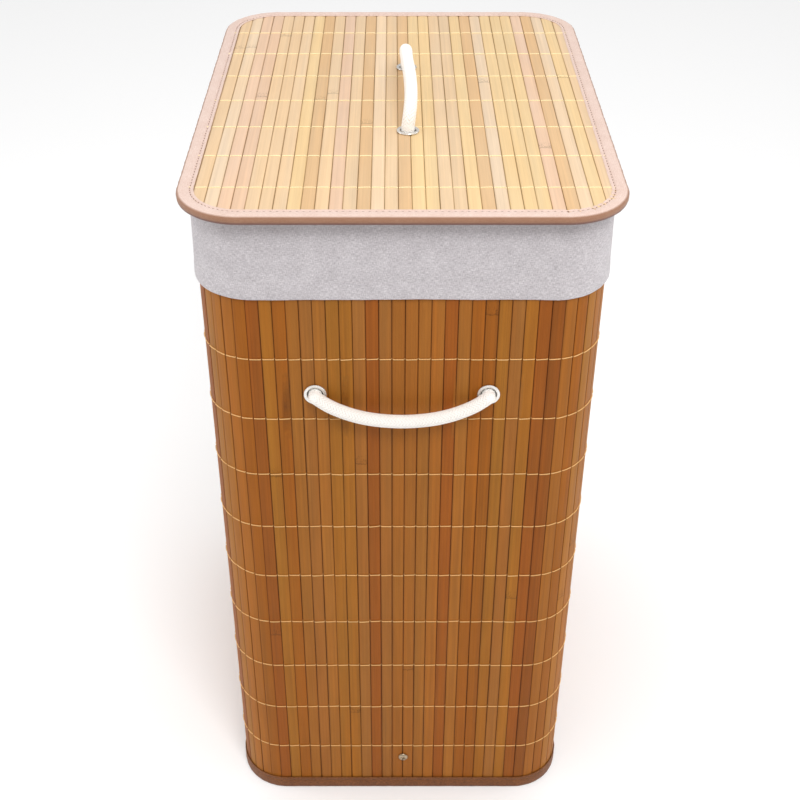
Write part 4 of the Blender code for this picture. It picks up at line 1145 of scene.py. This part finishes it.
# The bag's folds, the cuff's ripple and the floor's dips are sums of sine waves of the share round,
# whose phase shifts with the height. They move the cloth in from the wall, or out from it.
sway = np.array([row[2] for row in rows])
heights = points[:, :, 2]
phase = random.uniform(0, 2 * math.pi, 8)
turns = 2 * math.pi * share[None]
folds = (np.sin(11 * turns + phase[0] + 4 * heights) + 0.7 * np.sin(17 * turns + phase[1] - 5 * heights)
         + 0.5 * np.sin(29 * turns + phase[2] + 9 * heights)) / 2.2
drop = np.clip((0.52 - heights) / 0.40, 0, 1)
inward = 0.0016 * sway[:, None] * (1 + folds) * (0.35 + 0.65 * drop)
_, normal = outline(share * perimeter(*bag), *bag)
points[..., :2] -= inward[..., None] * normal[None]
cuff_rows = np.arange(len(rows)) >= len(rows) - CUFF_ROWS
hang = np.clip((0.636 - heights) / 0.064, 0, 1) * cuff_rows[:, None]
ripple = (np.sin(9 * turns + phase[3]) + 0.8 * np.sin(23 * turns + phase[4] + 30 * heights)
          + 0.5 * np.sin(47 * turns + phase[5] - 50 * heights)
          + 0.35 * np.sin(83 * turns + phase[6] + 80 * heights))
points[..., :2] += (0.00017 * hang * (1.8 + ripple))[..., None] * normal[None]
points[..., 2] += 0.00035 * hang * (np.sin(7 * turns + phase[7]) + 0.5 * np.sin(19 * turns + phase[3]))
floor_dip = 0.0002 * (1 + np.sin(5 * turns + phase[1])) * (np.arange(len(rows)) < FLOOR_ROWS)[:, None]
points[1:, :, 2] += floor_dip[1:]
down = np.concatenate(([0], np.cumsum(np.linalg.norm(np.diff(points[:, 40], axis=0), axis=1))))
across = np.arange(LINER_COLUMNS + 1) / LINER_COLUMNS * body_round
heather = cloth_finish("heathered_linen", "#DED9DB", "#A6A0A3", 1250, 0.0, 1.5, 0.92, 0.00014,
                       Sheen_Weight=0.12)
liner = grid_piece("liner", points, down, across, wrap_columns=True, sharp=60, finish=heather,
                   slot="liner_cloth")
thicken = liner.modifiers.new("thickness", "SOLIDIFY")
thicken.thickness = CLOTH
thicken.offset = 0.0
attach(liner, "liner")
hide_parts("liner_bag")
linen_thread = thread_finish("linen_thread", "#CDC6C8")
hem_stitches = stitch_ring("hem_stitches", BODY_HALF_X, BODY_HALF_Y, BODY_CORNER, offset=0.00185,
                           height=0.5870, outward_up=False, pitch=0.0034, length=0.0023,
                           radius=0.00022, finish=linen_thread, slot="liner_cloth")
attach(hem_stitches, "liner")

# ---------------------------------------------------------------------------------------------
# Lid: a mat of pale bamboo slats that run from front to back, on a thin board with a cloth
# lining below. The slats' ends are cut to the lid's rounded outline, under its binding.
# ---------------------------------------------------------------------------------------------
lid_low, lid_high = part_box("lid_binding")
LID_HALF_X = (lid_high[0] - lid_low[0]) / 2
LID_HALF_Y = (lid_high[1] - lid_low[1]) / 2
LID_CORNER = 0.050
LID_PITCH = 0.01003
LID_FIRST_JOINT = -0.0031
LID_SLAT_INSET = 0.0018
LID_JOINT_GAP = 0.0005
LID_GROOVE = 0.0006
LID_TONES = {"h": "#D9BB96", "i": "#D8B79B", "y": "#DBBD8E", "l": "#DCC2A3", "t": "#D2AE83"}
LID_ROWS = 40


def outline_reach(x, half_x, half_y, corner):
    """Half the length of a rounded rectangle at a distance x from its long axis: its whole half
    length, less what the corner's circle takes away."""
    past = np.clip(np.abs(x) - (half_x - corner), 0, corner)
    return half_y - corner + np.sqrt(corner ** 2 - past ** 2)


LEFT_JOINTS = 17                # left of the middle, before the outermost are dropped
lid_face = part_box("lid_mat")[1][2]
joint_numbers = np.arange(-LEFT_JOINTS, LEFT_JOINTS + 2)
joints = LID_FIRST_JOINT + LID_PITCH * joint_numbers
joints = joints[(joints > -LID_HALF_X + 0.002) & (joints < LID_HALF_X - 0.002)]
joints = np.concatenate(([-LID_HALF_X + LID_SLAT_INSET], joints, [LID_HALF_X - LID_SLAT_INSET]))
lid_middles = (joints[:-1] + joints[1:]) / 2
lid_count = len(lid_middles)
halves = ((joints[1:] - joints[:-1]) - LID_JOINT_GAP) / 2
grid = np.concatenate(([-1.0], np.linspace(-1, 1, LID_ROWS), [1.0]))
reach = outline_reach(np.abs(lid_middles) + halves * 0.9, LID_HALF_X - LID_SLAT_INSET,
                      LID_HALF_Y - LID_SLAT_INSET, LID_CORNER - LID_SLAT_INSET)
middles = np.empty((lid_count, len(grid), 3))
middles[..., 1] = grid[None] * reach[:, None]
middles[..., 0] = lid_middles[:, None] + drift(lid_count, len(grid), 0.00005, random)
middles[..., 2] = lid_face - random.uniform(0, 0.00015, (lid_count, 1))
rights = np.tile((1.0, 0.0, 0.0), (lid_count, 1))
ups = np.tile((0.0, 0.0, 1.0), (lid_count, 1))
half_widths = halves[:, None] + drift(lid_count, len(grid), 0.00005, random)
rings = np.where(random.uniform(size=lid_count) < 0.35, random.uniform(-0.18, 0.18, lid_count), NO_RING)
lid_letters = list(random.choice(list("hhiylt"), lid_count))
lid_bamboo = bamboo_finish("lid_bamboo", 0.42, 0.46, 0.00010, Specular_IOR_Level=0.3)
lid_slats = slats("lid_slats", middles, rights, ups, half_widths,
                  (joints[1:, None] - joints[:-1, None]) / 2 - SLAT_CLEARANCE, LID_GROOVE,
                  middles[..., 1],
                  tone_array(lid_letters, LID_TONES, random, 0.02), rings, 0.8, lid_bamboo,
                  "lid_bamboo")
pierce(lid_slats, [holes[key] for key in holes if key.startswith("lid")], "Z", EYELET_HOLE_RADIUS)
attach(lid_slats, "lid")
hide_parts("lid_mat")

# ---------------------------------------------------------------------------------------------
# Lid strings: cream twine woven across the slats in seven rows. Like the basket's, it lies over
# each slat and dips behind at each joint, and its ends are sewn in under the binding.
# ---------------------------------------------------------------------------------------------
LID_STRING_MIDDLE = -0.0061
LID_STRING_SPACING = 0.0552
LID_STRING_ROWS = 7
string_y = LID_STRING_MIDDLE + LID_STRING_SPACING * (np.arange(LID_STRING_ROWS) - 3)
string_x = (LID_FIRST_JOINT + LID_PITCH * (joint_numbers[:-1, None] + STRING_SHARES[None])).ravel()
inside = np.abs(string_x) < LID_HALF_X - 0.006
share = np.tile(STRING_SHARES, len(joint_numbers) - 1)[inside]
string_x = string_x[inside]
slants = random.normal(0.0002, 0.0003, (LID_STRING_ROWS, len(joint_numbers)))
slat_of = np.floor((string_x - LID_FIRST_JOINT) / LID_PITCH + 1e-6).astype(int) + LEFT_JOINTS
cream_twine = twine_finish("cream_twine", "#FFEFC2", "#F5DA9E", 0.6)
paths = np.stack(np.broadcast_arrays(
    string_x[None], string_y[:, None] + slants[:, slat_of] * (share - 0.5) * (share > 0),
    lid_face + woven_offset(share, 0.00012)[None]), axis=-1)
lid_strings = string_mesh("lid_strings", paths, np.broadcast_to((0.0, 0.0, 1.0), paths.shape), False,
                          cream_twine, "lid_bamboo")
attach(lid_strings, "lid")

# ---------------------------------------------------------------------------------------------
# Lid binding: brown-pink twill folded round the lid's edge over a thin padding, sewn through
# 10 mm in from the edge, with a cream lip left free inside the stitches.
# ---------------------------------------------------------------------------------------------
LIP_STITCH = 0.0103             # from the lid's edge to the line of stitches
LID_STITCH_PITCH = 0.0047
SIDE_BEGINS = 0.0120            # along the profile, where the tape turns down the lid's side
SIDE_ENDS = 0.0182              # and where it turns in below

pink_twill = cloth_finish("pink_twill", "#E9D5CB", "#CAAB9C", 620, 0.9, 0.9, 0.85, 0.00016,
                          Sheen_Weight=0.2)
# Painted shade: the tape is browner down the lid's side and darker where it turns in below, where less
# light falls;
# the cloth's colour is multiplied by a tint that changes along the profile.
pink_nodes = pink_twill.node_tree
pink_base = pink_nodes.nodes["Principled BSDF"].inputs["Base Color"]
along_profile = node(pink_nodes, "ShaderNodeSeparateXYZ", {
    0: node(pink_nodes, "ShaderNodeUVMap", uv_map="cloth").outputs["UV"]}).outputs[1]
side_start = node(pink_nodes, "ShaderNodeMapRange", {
    "Value": along_profile, "From Min": SIDE_BEGINS, "From Max": SIDE_BEGINS + 0.0014})
side_end = node(pink_nodes, "ShaderNodeMapRange", {
    "Value": along_profile, "From Min": SIDE_ENDS - 0.0016, "From Max": SIDE_ENDS})
under_painted_shade = node(pink_nodes, "ShaderNodeMix", {
    "Factor": side_end.outputs["Result"], 6: (0.46, 0.32, 0.23, 1), 7: (0.25, 0.16, 0.15, 1)},
    data_type="RGBA")
side_painted_shade = node(pink_nodes, "ShaderNodeMix", {
    "Factor": side_start.outputs["Result"], 6: (1, 1, 1, 1), 7: under_painted_shade.outputs[2]},
    data_type="RGBA")
shaded = node(pink_nodes, "ShaderNodeMix", {
    "Factor": 1.0, 6: pink_base.links[0].from_socket, 7: side_painted_shade.outputs[2]},
    data_type="RGBA", blend_type="MULTIPLY")
pink_nodes.links.new(shaded.outputs[2], pink_base)
top, bottom = lid_high[2], lid_low[2]
lid_profile = [(-0.0130, top - 0.0010), (-0.0131, top - 0.0006), (-0.0126, top - 0.0003),
               (-0.0117, top - 0.0002), (-0.0110, top - 0.0005), (-0.0105, top - 0.0010),
               (-0.0102, top - 0.0010), (-0.0097, top - 0.0005), (-0.0085, top - 0.0001),
               (-0.0065, top + 0.0001), (-0.0045, top + 0.0001), (-0.0030, top - 0.0001),
               (-0.0018, top - 0.0005), (-0.0008, top - 0.0012), (-0.0002, top - 0.0021),
               (0.0000, top - 0.0033), (-0.0001, top - 0.0046), (-0.0005, bottom - 0.0001),
               (-0.0014, bottom - 0.0009), (-0.0028, bottom - 0.0012), (-0.0042, bottom - 0.0008),
               (-0.0056, bottom), (-0.0080, bottom), (-0.0101, bottom + 0.0003),
               (-0.0105, bottom + 0.0003), (-0.0112, bottom), (-0.0128, bottom + 0.0001),
               (-0.0131, bottom + 0.0005), (-0.0128, bottom + 0.0008), (-0.0060, bottom + 0.0012),
               (-0.0030, bottom + 0.0010), (-0.0020, bottom + 0.0020), (-0.0018, bottom + 0.0031),
               (-0.0025, top - 0.0016), (-0.0060, top - 0.0013)]
lid_puckers = [(0.118, 0.0016, 0.0008), (0.129, 0.0012, 0.0008), (0.143, 0.0014, 0.0014),
               (0.149, 0.0011, 0.0010), (0.157, 0.0013, 0.0009), (0.171, 0.0015, 0.0014),
               (0.178, 0.0012, 0.0012), (0.188, 0.0014, 0.0008)]      # at the front right corner
lid_tape = swept_band("lid_tape", lid_profile, LID_HALF_X, LID_HALF_Y, LID_CORNER, columns=1500,
                      ripple=0.00016, random=random, finish=pink_twill, slot="lid_binding",
                      puckers=lid_puckers)
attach(lid_tape, "lid")
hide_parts("lid_binding")
pink_thread = thread_finish("pink_thread", "#7F5A48")
lid_stitches = stitch_ring("lid_tape_stitches", LID_HALF_X, LID_HALF_Y, LID_CORNER,
                           offset=-LIP_STITCH, height=top - 0.00085, outward_up=True,
                           pitch=LID_STITCH_PITCH, length=0.0018, radius=0.00036,
                           finish=pink_thread, slot="lid_binding")
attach(lid_stitches, "lid")

# ---------------------------------------------------------------------------------------------
# What the basket and lid are built on, kept as they are: cloth backing glued inside the mat and
# its seam tape, the steel hoop, pine battens, and the hardboard of the floor and of the lid.
# ---------------------------------------------------------------------------------------------


def wood_finish(name, light, dark, along, roughness, depth):
    """Wood or hardboard on Object coordinates: grain drawn out along one axis, with flecks."""
    finish, tree, shader = material(name, roughness)
    place = node(tree, "ShaderNodeTexCoord")
    stretch = [70.0, 70.0, 70.0]
    if along is not None:
        stretch[along] = 4.0
    mapping = node(tree, "ShaderNodeMapping", {"Vector": place.outputs["Object"], "Scale": stretch})
    grain = node(tree, "ShaderNodeTexNoise", {"Vector": mapping.outputs[0], "Scale": 6.0,
                                              "Detail": 6.0, "Distortion": 0.4})
    fleck = node(tree, "ShaderNodeTexNoise", {"Vector": place.outputs["Object"], "Scale": 1500.0})
    share = node(tree, "ShaderNodeMath", {0: grain.outputs["Fac"], 1: fleck.outputs["Fac"]},
                 operation="MULTIPLY_ADD")
    share.inputs[2].default_value = 0.15
    colour = node(tree, "ShaderNodeMix", {"Factor": share.outputs[0], 6: paint(dark),
                                          7: paint(light)}, data_type="RGBA")
    tree.links.new(colour.outputs[2], shader.inputs["Base Color"])
    relief(tree, shader, grain.outputs["Fac"], depth)
    return finish


kept = {
    "wall_backing": cloth_finish("backing_gauze", "#6B4A2E", "#4E341F", 1100, 0.0, 1.0, 0.9, 0.0001,
                                 place="upright"),
    "wall_seam_tape": cloth_finish("seam_tape", "#EDE6D8", "#D5C9B4", 700, 0.8, 0.6, 0.9, 0.0001,
                                   place="upright"),
    "rim_hoop": metal_finish("hoop_steel", "#A9A7A3", 0.38, 0.00003),
    "base_board": wood_finish("floor_hardboard", "#A9794C", "#6E4928", None, 0.6, 0.0001),
    "lid_board": wood_finish("lid_hardboard", "#C09A6C", "#8E6A44", None, 0.6, 0.0001),
    "lid_lining": cloth_finish("lid_lining_cloth", "#EDE8E2", "#CFC8C0", 1100, 0.0, 1.0, 0.9, 0.0001,
                               place="flat"),
}
pine_x = wood_finish("pine_across", "#E3C08C", "#C0925A", 0, 0.6, 0.0002)
pine_y = wood_finish("pine_lengthwise", "#E3C08C", "#C0925A", 1, 0.6, 0.0002)
kept.update({"base_batten_front": pine_x, "base_batten_back": pine_x, "base_batten_left": pine_y,
             "base_batten_right": pine_y})
for name, finish in kept.items():
    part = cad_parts[name]
    part.data.materials.clear()
    part.data.materials.append(finish)

# ---------------------------------------------------------------------------------------------
# The studio: a pale floor, and soft white light from above, from both sides and from in front,
# high up and a little to the right.
# ---------------------------------------------------------------------------------------------
floor_mesh = bpy.data.meshes.new("floor")
floor_mesh.from_pydata([(-30, -30, 0), (30, -30, 0), (30, 30, 0), (-30, 30, 0)], [], [(0, 1, 2, 3)])
floor = bpy.data.objects.new("floor", floor_mesh)
bpy.context.scene.collection.objects.link(floor)
floor_finish, _, floor_shader = material("pale_floor", 0.9)
floor_shader.inputs["Base Color"].default_value = paint("#FFFFFF")
floor_mesh.materials.append(floor_finish)

world = bpy.data.worlds.new("studio")
bpy.context.scene.world = world
world.use_nodes = True
world.node_tree.nodes["Background"].inputs["Color"].default_value = (1, 1, 1, 1)
world.node_tree.nodes["Background"].inputs["Strength"].default_value = 0.50


def softbox(name, place, aim, size, power):
    """A rectangular area light that faces a point."""
    lamp = bpy.data.objects.new(name, bpy.data.lights.new(name, "AREA"))
    lamp.data.shape = "RECTANGLE"
    lamp.data.size, lamp.data.size_y = size
    lamp.data.energy = power
    lamp.visible_camera = False
    lamp.location = place
    lamp.rotation_euler = (Vector(aim) - Vector(place)).to_track_quat("-Z", "Y").to_euler()
    bpy.context.scene.collection.objects.link(lamp)


softbox("top_light", (0, 0.6, 3.2), (0, 0.6, 0), (7.0, 7.0), 108)
softbox("key_light", (0.30, -1.15, 1.75), (0, -0.15, 0.5), (0.55, 0.45), 12)
softbox("left_light", (-1.3, -0.05, 0.6), (0, -0.05, 0.35), (0.6, 1.3), 5.0)
softbox("right_light", (1.3, -0.05, 0.6), (0, -0.05, 0.35), (0.6, 1.3), 3.6)
